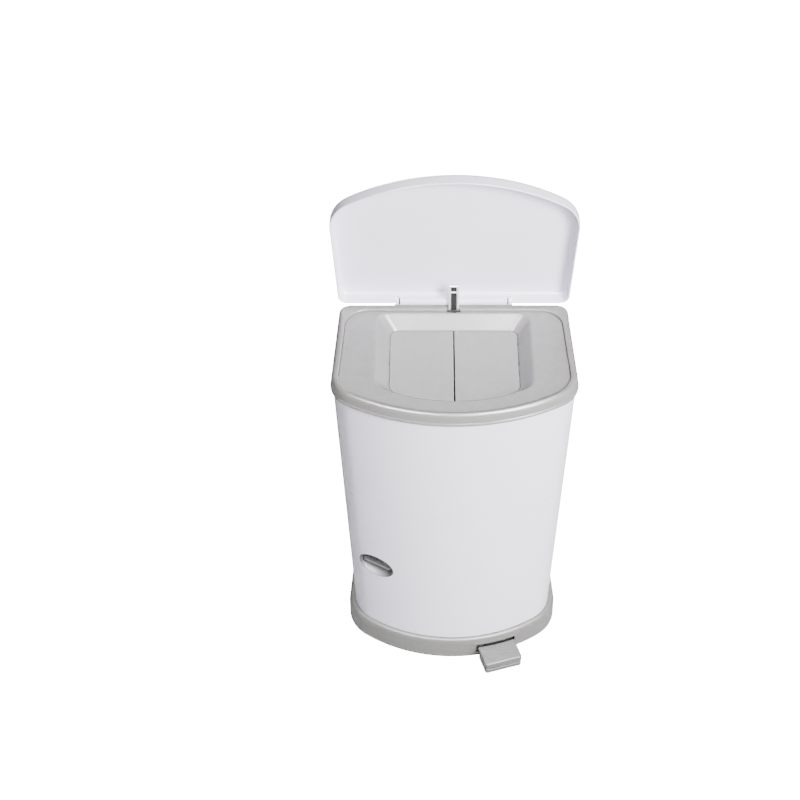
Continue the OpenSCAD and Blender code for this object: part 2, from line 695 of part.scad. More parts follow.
mount_screws_x = [30, ear_x - 10];
module hinge_mount() color(white) difference() {
    union() {
        box(-notch_x, notch_x, body_back, y_back + 3, deck_h - 50, deck_h - skirt_h - 1);
        box(-notch_x, notch_x, y_back + fit, y_back + 3, deck_h - 50, deck_h - 1);
        both_sides() {
            at_hinge() x_rod(barrel_r - 0.3, ear_x, ear_x + ear_t);
            box(ear_x, ear_x + ear_t, y_back + fit, y_back + 5, deck_h - 24, axis_z);
        }
    }
    both_sides() {
        at_hinge() x_rod(lid_pin_r + 0.02, ear_x - 1, ear_x + ear_t + 1);
        for (x = mount_screws_x) translate([x, 0, deck_h - 35]) y_rod(2.2, body_back - 1, y_back + 4);
    }
}

module hinge_screws() color(steel) both_sides() for (x = mount_screws_x) translate([x, 0, deck_h - 35]) {
    y_rod(2.1, body_back, y_back + 3);
    y_rod(4, y_back + 3, y_back + 5);
}

base_ring();
base_cover();
foot_band();
base_screws();
pedal_bracket();
pedal_pin();
pedal_lever();
pedal_pad();
pedal_plate();
lift_rod();
lid_lifter();
rod_guides();
rod_cover();
body_shell();
front_door();
door_hinge_pins();
door_grip_cup();
door_latch_paddle();
door_catch();
door_keeper();
deck_rim();
hopper_deck();
left_flap();
right_flap();
flap_pins();
flap_springs();
chute();
liner_shelf();
cassette_tray();
cassette_film();
cassette_cover();
cutter_rail();
cutter_slider();
cutter_blade();
lid_shell();
lid_hinge_barrel();
lid_hinge_pins();
hinge_mount();
hinge_screws();
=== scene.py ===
# %% [markdown]
# # A pedal bin for nappies, D-shaped in plan, with its lid standing open
# The construction comes from the CAD frame. This file adds what Blender is good at: soft edges, even
# curved shells, moulded plastic, chrome and light. Every piece is in metres and stays where the frame
# says it is, and each one rides on the body that carries it.

# %% Load the frame
from math import acos, atan2, cos, pi, radians, sin, sqrt

import bmesh
import bpy
from mathutils import Matrix, Vector


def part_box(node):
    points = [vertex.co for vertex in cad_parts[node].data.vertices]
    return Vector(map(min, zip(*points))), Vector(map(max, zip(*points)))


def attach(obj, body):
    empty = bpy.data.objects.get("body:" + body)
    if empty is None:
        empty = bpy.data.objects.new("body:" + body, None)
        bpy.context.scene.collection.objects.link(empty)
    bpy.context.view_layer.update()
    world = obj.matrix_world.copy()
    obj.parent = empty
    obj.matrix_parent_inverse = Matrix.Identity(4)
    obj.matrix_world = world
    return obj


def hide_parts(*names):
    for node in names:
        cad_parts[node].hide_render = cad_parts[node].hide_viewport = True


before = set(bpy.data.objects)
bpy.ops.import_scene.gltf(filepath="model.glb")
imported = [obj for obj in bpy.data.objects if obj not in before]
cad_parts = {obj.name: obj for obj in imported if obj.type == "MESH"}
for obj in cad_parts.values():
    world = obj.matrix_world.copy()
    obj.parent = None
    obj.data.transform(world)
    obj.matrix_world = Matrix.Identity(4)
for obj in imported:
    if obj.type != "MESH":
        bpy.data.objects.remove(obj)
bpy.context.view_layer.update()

MM = 0.001

# %% [markdown]
# ## The camera
# The bin is seen from the front and well above, with a long lens. A short lens close by would make the
# deck swell and the foot shrink, but a long lens further off keeps the sides nearly parallel, as a
# catalogue picture does. A small lens shift puts the bin off the middle of the picture. Turning the
# camera would do that too, but then the bin's upright lines would lean.

# %% Camera
LENS = 81.0
SENSOR = 36.0
LOOK_DOWN = radians(46.3)
camera_data = bpy.data.cameras.new("camera")
camera_data.lens = LENS
camera_data.sensor_width = SENSOR
camera_data.shift_x = -0.0375
camera_data.shift_y = 0.02875
camera = bpy.data.objects.new("camera", camera_data)
camera.location = (-0.0345, -1.903, 2.2126)
camera.rotation_euler = (LOOK_DOWN, 0, 0)
bpy.context.scene.collection.objects.link(camera)
bpy.context.scene.camera = camera
print("camera:", LENS, "mm lens,", round(LOOK_DOWN * 180 / pi, 1), "degrees up from straight down")

# %% [markdown]
# ## Sizes
# The deck's width, depth and height are read from the frame, so they can't drift from it. The rest are
# the radii and steps that the mouldings share. Each outline is a D: a flat back, two flaring sides and a
# bowed front, joined by round corners. Seven numbers describe a D: half its width at the corners, half
# its width at the back, where its back and its front lie, and the radii of bow, corner and heel.

# %% Sizes shared by the mouldings
deck_low, deck_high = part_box("deck_rim")
DECK_TOP = deck_high.z
DECK_HALF = deck_high.x
BACK = deck_high.y
FRONT = deck_low.y
SKIRT_FOOT = deck_low.z
BODY_TOP = DECK_TOP - 6.5 * MM
RING_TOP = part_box("base_ring")[1].z
RING_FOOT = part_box("base_ring")[0].z
OVERHANG = 3 * MM
BODY_HALF = DECK_HALF - OVERHANG
FOOT_HALF = BODY_HALF - 20 * MM
RING_HALF = FOOT_HALF + 10.5 * MM
INNER_TOP = DECK_TOP - 3.5 * MM
INNER_IN = 12.6 * MM
THROAT_HALF = 92.5 * MM
THROAT_BACK = BACK - 35 * MM
THROAT_FRONT = THROAT_BACK - 150 * MM
THROAT_TOP = DECK_TOP - 20 * MM

DECK = (DECK_HALF, DECK_HALF - 6 * MM, BACK, FRONT, 290 * MM, 52 * MM, 20 * MM)
LID = (DECK_HALF, DECK_HALF - 6.5 * MM, BACK, FRONT, 290 * MM, 52 * MM, 14 * MM)
INNER = (DECK_HALF - INNER_IN, DECK_HALF - 18 * MM, BACK - INNER_IN, FRONT + INNER_IN - 2 * MM,
         277.4 * MM, 43.4 * MM, 32 * MM)
BODY = (BODY_HALF, BODY_HALF - 6 * MM, BACK - OVERHANG, FRONT + OVERHANG, 287 * MM, 49 * MM, 17 * MM)
FOOT = (FOOT_HALF, FOOT_HALF - 8 * MM, BACK - OVERHANG, FRONT + OVERHANG + 4 * MM,
        222 * MM, 57 * MM, 10 * MM)
RING = (RING_HALF, RING_HALF - 8 * MM, BACK, FRONT, 230 * MM, 65 * MM, 14 * MM)


def throat(sides, back=None, front=None, back_radius=12 * MM, corner_radius=15 * MM):
    """The D of the chute's mouth, moved outwards by these distances."""
    back = sides if back is None else back
    front = sides if front is None else front
    half = THROAT_HALF + sides
    return (half, half, THROAT_BACK + back, THROAT_FRONT - front, 210 * MM, corner_radius, back_radius)


print("deck, mm:", round(2 * DECK_HALF / MM), "wide,", round((BACK - FRONT) / MM), "deep,",
      round(DECK_TOP / MM), "high")

# %% [markdown]
# ## A rim of points
# Every shell on this bin follows one D or another. A curve with a bevel could draw one of them, but the
# shells run from one D into the next. So the function below walks round a D and always gives the same
# number of points, and any rim can be joined to any other with clean four-sided faces. Four-sided faces
# of even size keep a glossy wall free of ripples.

# %% The D-shaped rim
STEPS = {"bow": 30, "corner": 18, "side": 10, "heel": 8, "back": 14}


def arc(centre, radius, start, stop, count):
    return [centre + radius * Vector((cos(a), sin(a)))
            for a in (start + (stop - start) * i / count for i in range(count + 1))]


def rim(plan, inset=0.0, z=0.0, steps=STEPS):
    """Points of a D at height z, anticlockwise from the middle of its front."""
    half, back_half, back, front, bow_r, corner_r, heel_r = plan
    bow = Vector((0, front + bow_r))
    corner_x = half - corner_r
    corner = Vector((corner_x, bow.y - sqrt((bow_r - corner_r) ** 2 - corner_x ** 2)))
    heel = Vector((back_half - heel_r, back - heel_r))
    turn = atan2(corner.y - bow.y, corner.x)
    along = heel - corner
    side = atan2(along.y, along.x) - acos((corner_r - heel_r) / along.length)
    points = arc(bow, bow_r - inset, -pi / 2, turn, steps["bow"])
    points += arc(corner, corner_r - inset, turn, side, steps["corner"])[1:]
    heel_arc = arc(heel, heel_r - inset, side, pi / 2, steps["heel"])
    points += [points[-1].lerp(heel_arc[0], i / steps["side"]) for i in range(1, steps["side"])]
    points += heel_arc
    middle = Vector((0, back - inset))
    points += [points[-1].lerp(middle, i / steps["back"]) for i in range(1, steps["back"] + 1)]
    mirrored = [Vector((-p.x, p.y)) for p in reversed(points[1:-1])]
    return [Vector((p.x, p.y, z)) for p in points + mirrored]


def between(first, second, share):
    return [a.lerp(b, share) for a, b in zip(first, second)]


def shrink(points, share):
    """Draws a rim in towards the middle, to close a shell with even faces."""
    return [Vector((p.x * share, p.y * share, p.z)) for p in points]


def smooth(low, high, value):
    """A share that eases from 0 at low to 1 at high."""
    t = min(max((value - low) / (high - low), 0), 1)
    return t * t * (3 - 2 * t)


def curl(a, b, c, count):
    """Points of a smooth bend that leaves a towards b and arrives at c."""
    return [tuple((1 - t) ** 2 * p + 2 * t * (1 - t) * q + t * t * r for p, q, r in zip(a, b, c))
            for t in (i / count for i in range(count + 1))]


print("points in one rim:", len(rim(DECK)))

# %% [markdown]
# ## Working by hand, in code
# These are the moves of a modelling session: clear the selection, add a primitive, go into edit mode,
# pick faces or edges by where they are, run an operator, come back out and apply the modifiers. A mesh
# could be written point by point instead, but operators and modifiers are what a reader can also do by
# hand. An operator acts on all that is selected, so each move clears the selection first.

# %% The modelling moves
NEAR = 1e-6
WELD = 1e-5


def deselect():
    if bpy.context.object and bpy.context.object.mode != "OBJECT":
        bpy.ops.object.mode_set(mode="OBJECT")
    bpy.ops.object.select_all(action="DESELECT")


def take(piece):
    deselect()
    bpy.context.view_layer.objects.active = piece
    piece.select_set(True)


def edit(piece, kind="FACE"):
    take(piece)
    bpy.ops.object.mode_set(mode="EDIT")
    bpy.ops.mesh.select_mode(type=kind)
    bpy.ops.mesh.select_all(action="DESELECT")


def done():
    bpy.ops.object.mode_set(mode="OBJECT")


def pick(piece, kind, test):
    """In edit mode, selects the vertices, edges or faces that pass the test."""
    bpy.ops.mesh.select_mode(type=kind)
    bpy.ops.mesh.select_all(action="DESELECT")
    mesh = bmesh.from_edit_mesh(piece.data)
    parts = {"VERT": mesh.verts, "EDGE": mesh.edges, "FACE": mesh.faces}[kind]
    for part in parts:
        if test(part):
            part.select_set(True)
    mesh.select_flush_mode()
    bmesh.update_edit_mesh(piece.data)


def middle(part):
    return sum((v.co for v in part.verts), Vector()) / len(part.verts)


def upright(edge):
    a, b = edge.verts
    return abs(a.co.x - b.co.x) < NEAR and abs(a.co.y - b.co.y) < NEAR


def modify(piece, kind, **settings):
    take(piece)
    modifier = piece.modifiers.new(kind.lower(), kind)
    for key, value in settings.items():
        setattr(modifier, key, value)
    bpy.ops.object.modifier_apply(modifier=modifier.name)
    return piece


def carve(piece, cutter, operation="DIFFERENCE"):
    modify(piece, "BOOLEAN", object=cutter, operation=operation, solver="EXACT")
    bpy.data.objects.remove(cutter)
    return piece


def settle(piece):
    """Puts the piece's object at the origin, with its place in its mesh."""
    take(piece)
    bpy.ops.object.transform_apply(location=True, rotation=True, scale=True)
    return piece


def join(name, pieces):
    deselect()
    for piece in pieces:
        piece.select_set(True)
    bpy.context.view_layer.objects.active = pieces[0]
    if len(pieces) > 1:
        bpy.ops.object.join()
    joined = bpy.context.object
    joined.name = name
    joined.data.name = name
    return joined


def outwards(piece):
    edit(piece)
    bpy.ops.mesh.select_all(action="SELECT")
    bpy.ops.mesh.remove_doubles(threshold=WELD)
    bpy.ops.mesh.normals_make_consistent(inside=False)
    done()
    return piece


def soften(piece, width, segments=2, angle=40, smooth=35):
    """Rounds the sharp edges and shades the rest smooth, as a mould leaves them."""
    if width:
        modify(piece, "BEVEL", width=width, segments=segments, limit_method="ANGLE",
               angle_limit=radians(angle), miter_outer="MITER_ARC", use_clamp_overlap=True)
    take(piece)
    bpy.ops.object.shade_smooth_by_angle(angle=radians(smooth))
    modify(piece, "WEIGHTED_NORMAL", keep_sharp=True)
    return piece


def block(name, low, high):
    """A cube primitive at its size and place, corner to corner."""
    deselect()
    low, high = Vector(low), Vector(high)
    bpy.ops.mesh.primitive_cube_add(size=1, location=(low + high) / 2)
    piece = bpy.context.object
    piece.name = name
    piece.scale = high - low
    return settle(piece)


def rod(name, radius, start, stop, sides=40):
    """A cylinder primitive between two points."""
    deselect()
    start, stop = Vector(start), Vector(stop)
    bpy.ops.mesh.primitive_cylinder_add(vertices=sides, radius=radius, depth=(stop - start).length,
                                        location=(start + stop) / 2)
    piece = bpy.context.object
    piece.name = name
    piece.rotation_euler = (stop - start).to_track_quat("Z", "Y").to_euler()
    return settle(piece)


def loft(name, rims, ends="bridge"):
    """A circle primitive, extruded again and again, with each new rim laid on its own outline.
    ends says what closes it: "bridge" joins last to first, "cap" fills both, "open" leaves a sheet."""
    deselect()
    count = len(rims[0])
    bpy.ops.mesh.primitive_circle_add(vertices=count, radius=0.1)
    piece = bpy.context.object
    piece.name = name
    bpy.ops.object.mode_set(mode="EDIT")
    bpy.ops.mesh.select_mode(type="VERT")
    bpy.ops.mesh.select_all(action="SELECT")
    for index, outline in enumerate(rims):
        if index:
            bpy.ops.mesh.extrude_edges_move()
        mesh = bmesh.from_edit_mesh(piece.data)
        fresh = [v for v in mesh.verts if v.select]
        for vertex, place in zip(fresh, outline):
            vertex.co = place
        bmesh.update_edit_mesh(piece.data)
    last_starts = count * (len(rims) - 1)
    if ends == "bridge":
        pick(piece, "VERT", lambda v: v.index < count or v.index >= last_starts)
        bpy.ops.mesh.bridge_edge_loops()
    elif ends == "cap":
        for test in (lambda v: v.index >= last_starts, lambda v: v.index < count):
            pick(piece, "VERT", test)
            bpy.ops.mesh.edge_face_add()
    done()
    return outwards(piece)


def put(piece, body, slot, material, *nodes):
    """Gives a finished piece its material, its body and the CAD nodes it stands for. The slot is not
    used.
    """
    piece.data.materials.clear()
    piece.data.materials.append(material)
    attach(piece, body)
    if nodes:
        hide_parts(*nodes)
    print(piece.name, "faces:", len(piece.data.polygons))
    return piece


# %% [markdown]
# ## Effects that several finishes share
# Moulded plastic is never quite even: the mould leaves a fine grain, hands leave soft smudges that
# change the gloss, and a little dust settles on what faces up. The nodes could be copied into each
# material, but a change would then be made many times over. Here each effect is one node group with
# named inputs, so every material can have its own amount of it.

# %% Node group helpers


def new_group(name, inputs, outputs):
    group = bpy.data.node_groups.new(name, "ShaderNodeTree")
    for label, kind, value in inputs:
        socket = group.interface.new_socket(label, in_out="INPUT", socket_type=kind)
        if value is not None:
            socket.default_value = value
    for label, kind in outputs:
        group.interface.new_socket(label, in_out="OUTPUT", socket_type=kind)
    return group, group.nodes.new("NodeGroupInput"), group.nodes.new("NodeGroupOutput")


def node(tree, kind, inputs=None, **settings):
    made = tree.nodes.new(kind)
    for key, value in settings.items():
        setattr(made, key, value)
    for key, value in (inputs or {}).items():
        if isinstance(value, bpy.types.NodeSocket):
            tree.links.new(value, made.inputs[key])
        else:
            made.inputs[key].default_value = value
    return made


def group_node(tree, group, inputs):
    return node(tree, "ShaderNodeGroup", inputs, node_tree=group)


FLOAT, COLOUR = "NodeSocketFloat", "NodeSocketColor"

# %% [markdown]
# ### Mould grain
# Spark-eroded moulds leave a grain a fraction of a millimetre wide. It is far too fine to model, so it is
# bump. Two layers of noise are mixed: the grain itself and a much wider waviness, which is what breaks up
# a reflection on a large thin wall. They read Object coordinates, so they stay put when a piece moves.

# %% Group: mould grain
grain, grain_in, grain_out = new_group(
    "mould_grain",
    [("Grain per metre", FLOAT, 1500.0), ("Waves per metre", FLOAT, 14.0), ("Wave share", FLOAT, 0.5)],
    [("Height", FLOAT)])
place = node(grain, "ShaderNodeTexCoord")
fine = node(grain, "ShaderNodeTexNoise", {"Vector": place.outputs["Object"],
                                           "Scale": grain_in.outputs["Grain per metre"],
                                           "Detail": 2.0, "Roughness": 0.55})
wide = node(grain, "ShaderNodeTexNoise", {"Vector": place.outputs["Object"],
                                           "Scale": grain_in.outputs["Waves per metre"],
                                           "Detail": 1.0, "Roughness": 0.4})
mixed = node(grain, "ShaderNodeMix", {"Factor": grain_in.outputs["Wave share"],
                                       2: fine.outputs["Fac"], 3: wide.outputs["Fac"]})
grain.links.new(mixed.outputs[0], grain_out.inputs["Height"])

# %% [markdown]
# ### Handling marks
# Wiped plastic has broad, soft patches that are a little duller or shinier than the rest. The group
# takes a roughness and gives back one that wanders round it. It also puts out the patches as a mask, so
# that the colour can drift with the gloss.

# %% Group: handling marks
marks, marks_in, marks_out = new_group(
    "handling_marks",
    [("Roughness", FLOAT, 0.4), ("Spread", FLOAT, 0.06), ("Patches per metre", FLOAT, 11.0)],
    [("Roughness", FLOAT), ("Mask", FLOAT)])
place = node(marks, "ShaderNodeTexCoord")
patches = node(marks, "ShaderNodeTexNoise", {"Vector": place.outputs["Object"],
                                              "Scale": marks_in.outputs["Patches per metre"],
                                              "Detail": 5.0, "Roughness": 0.62, "Distortion": 0.6})
centred = node(marks, "ShaderNodeMath", {0: patches.outputs["Fac"], 1: 0.5}, operation="SUBTRACT")
scaled = node(marks, "ShaderNodeMath", {0: centred.outputs[0], 1: marks_in.outputs["Spread"]},
              operation="MULTIPLY")
doubled = node(marks, "ShaderNodeMath", {0: scaled.outputs[0], 1: 2.0, 2: marks_in.outputs["Roughness"]},
               operation="MULTIPLY_ADD")
marks.links.new(doubled.outputs[0], marks_out.inputs["Roughness"])
marks.links.new(patches.outputs["Fac"], marks_out.inputs["Mask"])

# %% [markdown]
# ### Settled dust
# A faint veil on faces that look up, thicker in patches. It warms and dulls the colour a very little.
# Painting it by hand would look richer on one piece, but the face's own direction does it for them all.

# %% Group: settled dust
dust, dust_in, dust_out = new_group(
    "settled_dust",
    [("Colour", COLOUR, (0.8, 0.8, 0.8, 1)), ("Dust", COLOUR, (0.62, 0.6, 0.57, 1)),
     ("Amount", FLOAT, 0.1)],
    [("Colour", COLOUR)])
place = node(dust, "ShaderNodeTexCoord")
facing = node(dust, "ShaderNodeSeparateXYZ", {0: node(dust, "ShaderNodeNewGeometry").outputs["Normal"]})
speck = node(dust, "ShaderNodeTexNoise", {"Vector": place.outputs["Object"], "Scale": 60.0,
                                           "Detail": 6.0, "Roughness": 0.7})
up = node(dust, "ShaderNodeMapRange", {0: facing.outputs["Z"], 1: 0.55, 2: 1.0, 3: 0.0, 4: 1.0})
patchy = node(dust, "ShaderNodeMapRange", {0: speck.outputs["Fac"], 1: 0.35, 2: 0.7, 3: 0.2, 4: 1.0})
both = node(dust, "ShaderNodeMath", {0: up.outputs[0], 1: patchy.outputs[0]}, operation="MULTIPLY")
veil = node(dust, "ShaderNodeMath", {0: both.outputs[0], 1: dust_in.outputs["Amount"]},
            operation="MULTIPLY")
dusty = node(dust, "ShaderNodeMix", {"Factor": veil.outputs[0], 6: dust_in.outputs["Colour"],
                                      7: dust_in.outputs["Dust"]}, data_type="RGBA")
dust.links.new(dusty.outputs[2], dust_out.inputs["Colour"])

# %% [markdown]
# ## Materials
# One recipe covers all the moulded plastics: a base colour that drifts very slightly, a gloss that
# wanders, and a grain that only shows close up. The metals get their own recipe, with no dust and with
# scratches in place of grain. A number that is the same all over a piece is set on the shader itself.

# %% Recipes for plastic and metal


def plastic(name, colour, second, roughness, spread=0.06, grain_size=1500.0, grain_depth=0.00002,
            wave_share=0.3, dust_amount=0.08, specular=0.5):
    """A moulded plastic: colour drifts towards second in wide soft patches."""
    material = bpy.data.materials.new(name)
    material.use_nodes = True
    tree = material.node_tree
    shader = tree.nodes["Principled BSDF"]
    wander = group_node(tree, marks, {"Roughness": roughness, "Spread": spread})
    tint = node(tree, "ShaderNodeMix", {"Factor": wander.outputs["Mask"], 6: (*colour, 1),
                                         7: (*second, 1)}, data_type="RGBA")
    dusty = group_node(tree, dust, {"Colour": tint.outputs[2], "Amount": dust_amount})
    skin = group_node(tree, grain, {"Grain per metre": grain_size, "Wave share": wave_share})
    bump = node(tree, "ShaderNodeBump", {"Height": skin.outputs["Height"], "Strength": 1.0,
                                          "Distance": grain_depth})
    tree.links.new(dusty.outputs["Colour"], shader.inputs["Base Color"])
    tree.links.new(wander.outputs["Roughness"], shader.inputs["Roughness"])
    tree.links.new(bump.outputs["Normal"], shader.inputs["Normal"])
    shader.inputs["Specular IOR Level"].default_value = specular
    return material


def metal(name, colour, roughness, spread, brush=0.0):
    """A metal: brush stretches fine scratches along Z; 0 leaves it plain and bright."""
    material = bpy.data.materials.new(name)
    material.use_nodes = True
    tree = material.node_tree
    shader = tree.nodes["Principled BSDF"]
    wander = group_node(tree, marks, {"Roughness": roughness, "Spread": spread,
                                       "Patches per metre": 90.0})
    place = node(tree, "ShaderNodeTexCoord")
    stretch = node(tree, "ShaderNodeMapping", {"Vector": place.outputs["Object"],
                                                "Scale": (1.0, 1.0, 0.04)})
    scratch = node(tree, "ShaderNodeTexNoise", {"Vector": stretch.outputs[0], "Scale": 2600.0,
                                                 "Detail": 3.0})
    bump = node(tree, "ShaderNodeBump", {"Height": scratch.outputs["Fac"], "Strength": 1.0,
                                          "Distance": brush})
    tree.links.new(wander.outputs["Roughness"], shader.inputs["Roughness"])
    tree.links.new(bump.outputs["Normal"], shader.inputs["Normal"])
    shader.inputs["Base Color"].default_value = (*colour, 1)
    shader.inputs["Metallic"].default_value = 1.0
    return material


# %% [markdown]
# The white is a cool, slightly lilac white with a satin polish, and the lid is polished a little more.
# The deck is a warm light grey with a polish that draws a clear line along its rolled rim, and the flaps
# in it are duller. The base is the same grey, a shade deeper, and the tread is darker again from use.
# Rubber is nearly black and takes hardly any gloss, so that the thin lines it fills stay dark. It is
# real rubber on the foot band, and painted shade where black pieces fill thin gaps, seams and slots.

# %% The bin's own finishes
white_shell = plastic("white_shell", (0.79, 0.765, 0.88), (0.775, 0.75, 0.86), 0.3, 0.05)
lid_white = plastic("lid_white", (0.80, 0.775, 0.895), (0.785, 0.76, 0.88), 0.22, 0.04)
deck_grey = plastic("deck_grey", (0.214, 0.206, 0.2045), (0.206, 0.199, 0.197), 0.24, 0.05,
                    grain_size=1100.0, grain_depth=0.00002)
flap_grey = plastic("flap_grey", (0.231, 0.228, 0.229), (0.222, 0.219, 0.22), 0.45, 0.05)
base_grey = plastic("base_grey", (0.155, 0.151, 0.148), (0.148, 0.144, 0.141), 0.4, 0.06,
                    grain_size=1100.0, grain_depth=0.00004)
tread_grey = plastic("tread_grey", (0.122, 0.119, 0.118), (0.114, 0.112, 0.11), 0.42, 0.06,
                     grain_size=1100.0, grain_depth=0.00004)
# This grey is the grip's; the grip cell below adds painted light to it, paling it at the lower lip.
grip_grey_painted_lip = plastic("grip_grey_painted_lip", (0.088, 0.087, 0.087), (0.08, 0.079, 0.079), 0.5, 0.06)
dark_grey = plastic("dark_grey", (0.13, 0.128, 0.126), (0.12, 0.118, 0.116), 0.4, 0.06)
inner_white = plastic("inner_white", (0.74, 0.74, 0.75), (0.70, 0.70, 0.71), 0.5, 0.06)
cassette_blue = plastic("cassette_blue", (0.50, 0.62, 0.72), (0.46, 0.58, 0.68), 0.42, 0.06)
liner_film = plastic("film", (0.55, 0.68, 0.77), (0.50, 0.63, 0.73), 0.28, 0.1, grain_size=400.0,
                     grain_depth=0.0002, wave_share=0.2)
# black rubber: real on the foot band, painted shade where it fills gaps, seams and slots
rubber_and_painted_shade = plastic("rubber", (0.012, 0.012, 0.013), (0.016, 0.016, 0.016), 0.6, 0.08,
                       grain_size=2200.0, grain_depth=0.00006, dust_amount=0.01, specular=0.2)
chrome = metal("chrome", (0.90, 0.91, 0.92), 0.42, 0.06)
bare_steel = metal("steel", (0.60, 0.61, 0.62), 0.34, 0.12, brush=0.00002)
print("finishes made:", len(bpy.data.materials))

# %% [markdown]
# ## The base ring
# A grey moulding like a shallow upturned tray. The pedal comes out of its front, turned to the viewer's
# right. The pedal's place is worked out first, because the ring's slot and the pedal itself both need
# it: the pedal points straight away from the lift rod, and its face lies on the ring's bow.

# %% Base ring: the pedal's place
PEDAL_YAW = radians(17.5)
ROD_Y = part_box("lift_rod")[0].y + 2.5 * MM
BOW_R = RING[4]
bow_to_rod = ROD_Y - (FRONT + BOW_R)
face_at = bow_to_rod * cos(PEDAL_YAW) + sqrt(BOW_R ** 2 - (bow_to_rod * sin(PEDAL_YAW)) ** 2)
FACE = 22 * MM
PIVOT = Vector(((face_at - FACE) * sin(PEDAL_YAW), ROD_Y - (face_at - FACE) * cos(PEDAL_YAW), 14 * MM))
TO_PEDAL = Matrix.Translation(PIVOT) @ Matrix.Rotation(PEDAL_YAW, 4, "Z")
PEDAL_HALF = 30 * MM
SLOT_TOP = 28.6 * MM
print("pedal pivot:", [round(v, 4) for v in PIVOT])


def at_pedal(piece):
    """Moves a piece that was drawn round the pedal's pivot to its place."""
    piece.matrix_world = TO_PEDAL
    return settle(piece)


# %% [markdown]
# The ring's wall stands straight, then rolls over to a narrow ledge that the white body sits on. A solid
# block with its inside cut away would leave the roll to a bevel. One loft draws it exactly: from the
# middle of the roof's underside, down the inside of the wall, round the bottom edge, up the outside and
# back to the middle of the roof. Its rims have twice as many points round the front, for the brow.

# %% Base ring: loft
RING_STEPS = {"bow": 60, "corner": 24, "side": 12, "heel": 10, "back": 14}
RING_WALL = 3 * MM
#   inset and height of each rim up the outside, in millimetres
ring_profile = [(1.2, 1.5), (0.4, 1.8), (0, 2.6), (0, 12), (0, 22), (0, 27), (0, 28.5), (0, 28.8),
                (0, 30)]
ring_profile += curl((0.05, 31), (0.6, 39.6), (5.6, 40), 8)
ring_rims = [rim(RING, x * MM, z * MM, RING_STEPS) for x, z in ring_profile]
ring_edge = rim(RING, 11 * MM, RING_TOP, RING_STEPS)
under_edge = rim(RING, RING_WALL, RING_TOP - RING_WALL, RING_STEPS)
inside_foot = rim(RING, RING_WALL, 2 * MM, RING_STEPS)
inside_edge = rim(RING, RING_WALL - 0.6 * MM, RING_FOOT, RING_STEPS)
ring = loft("base_ring_moulding", [shrink(under_edge, 0.4), under_edge, inside_foot, inside_edge]
            + ring_rims + [ring_edge, shrink(ring_edge, 0.4)], "cap")

# %% [markdown]
# Above the pedal the wall is pulled forward into a brow that shades the slot. A separate piece would
# show a seam, so the ring's own vertices are moved: each goes straight out from the middle of the bow,
# less and less towards the brow's ends and top. Then a box cuts the slot, and a rod the lift rod's hole.

# %% Base ring: brow over the pedal
BROW_OUT = 1.6 * MM
BROW_HALF = PEDAL_HALF + 4 * MM
BROW_FADE = 7 * MM
BROW_LOW, BROW_LEAN, BROW_HIGH = 28.65 * MM, 29.6 * MM, 40 * MM
BROW_TOP_IN = 5.2 * MM
from_pedal = TO_PEDAL.inverted()
bow_centre = Vector((0, FRONT + BOW_R, 0))
for vertex in ring.data.vertices:
    local = from_pedal @ vertex.co
    in_front = local.y < -FACE + 9 * MM and abs(local.x) < BROW_HALF + BROW_FADE
    if not in_front or vertex.co.z <= BROW_LOW:
        continue
    radial = Vector((vertex.co.x, vertex.co.y - bow_centre.y, 0))
    inset = BOW_R - radial.length
    if inset > 6.5 * MM:
        continue
    fade = smooth(0, BROW_FADE, BROW_HALF + BROW_FADE - abs(local.x))
    up = (vertex.co.z - BROW_LEAN) / (BROW_HIGH - BROW_LEAN)
    brow_inset = -BROW_OUT + max(0.0, up) * (BROW_TOP_IN + BROW_OUT)
    gain = max(0.0, inset - brow_inset) * fade
    vertex.co += radial.normalized() * gain
slot_box = at_pedal(block("slot", (-PEDAL_HALF - 1.5 * MM, -FACE - 30 * MM, 8.2 * MM - PIVOT.z),
                          (PEDAL_HALF + 1.5 * MM, -FACE + 12 * MM, SLOT_TOP - PIVOT.z)))
carve(ring, slot_box)
carve(ring, rod("rod_hole", 3.2 * MM, (0, ROD_Y, 30 * MM), (0, ROD_Y, 50 * MM)))
soften(ring, 0.35 * MM, angle=50)
put(ring, "bin", "base_grey", base_grey, "base_ring")

# %% [markdown]
# ## The white body and its front door
# Body and door are one smooth surface, which flares from the foot's D to the wider D under the deck, with
# a thin gap between them. The door could be modelled on its own, but its wall would then never quite
# meet the body's. Both are drawn from the same rims, so the surface runs on across the gap. These helpers
# give a rim at any height, and say where the wall stands at a given spot.

# %% Body surface
DOOR_FOOT = RING_TOP + 1.2 * MM
DOOR_TOP = 311.5 * MM
OPENING_TOP = 312.3 * MM
DOOR_SIDE = 10 * MM
JAMB_LEFT = 10.8 * MM
JAMB_RIGHT = 15.4 * MM
WALL = 3 * MM
foot_rim = rim(FOOT)
top_rim = rim(BODY)


def body_rim(z, inset=0.0):
    share = (z - RING_TOP) / (BODY_TOP - RING_TOP)
    low = rim(FOOT, inset) if inset else foot_rim
    high = rim(BODY, inset) if inset else top_rim
    return [Vector((p.x, p.y, z)) for p in between(low, high, share)]


def heights(low, high, pitch=14 * MM):
    count = max(1, round((high - low) / pitch))
    return [low + (high - low) * i / count for i in range(count + 1)]


def body_side(y, z):
    """How far from the middle the body's right side stands, at a depth and a height."""
    points = body_rim(z)
    half = points[:len(points) // 2 + 1]
    for a, b in zip(half, half[1:]):
        if a.x > BODY_HALF * 0.6 and a.y <= y <= b.y:
            return a.x + (b.x - a.x) * (y - a.y) / (b.y - a.y)
    return 0.0


def body_front(x, z):
    """Where the body's front lies, at a distance x from the middle and a height z."""
    points = body_rim(z)
    for a, b in zip(points, points[1:]):
        if a.x <= abs(x) <= b.x:
            return a.y + (b.y - a.y) * (abs(x) - a.x) / (b.x - a.x)
    return 0.0


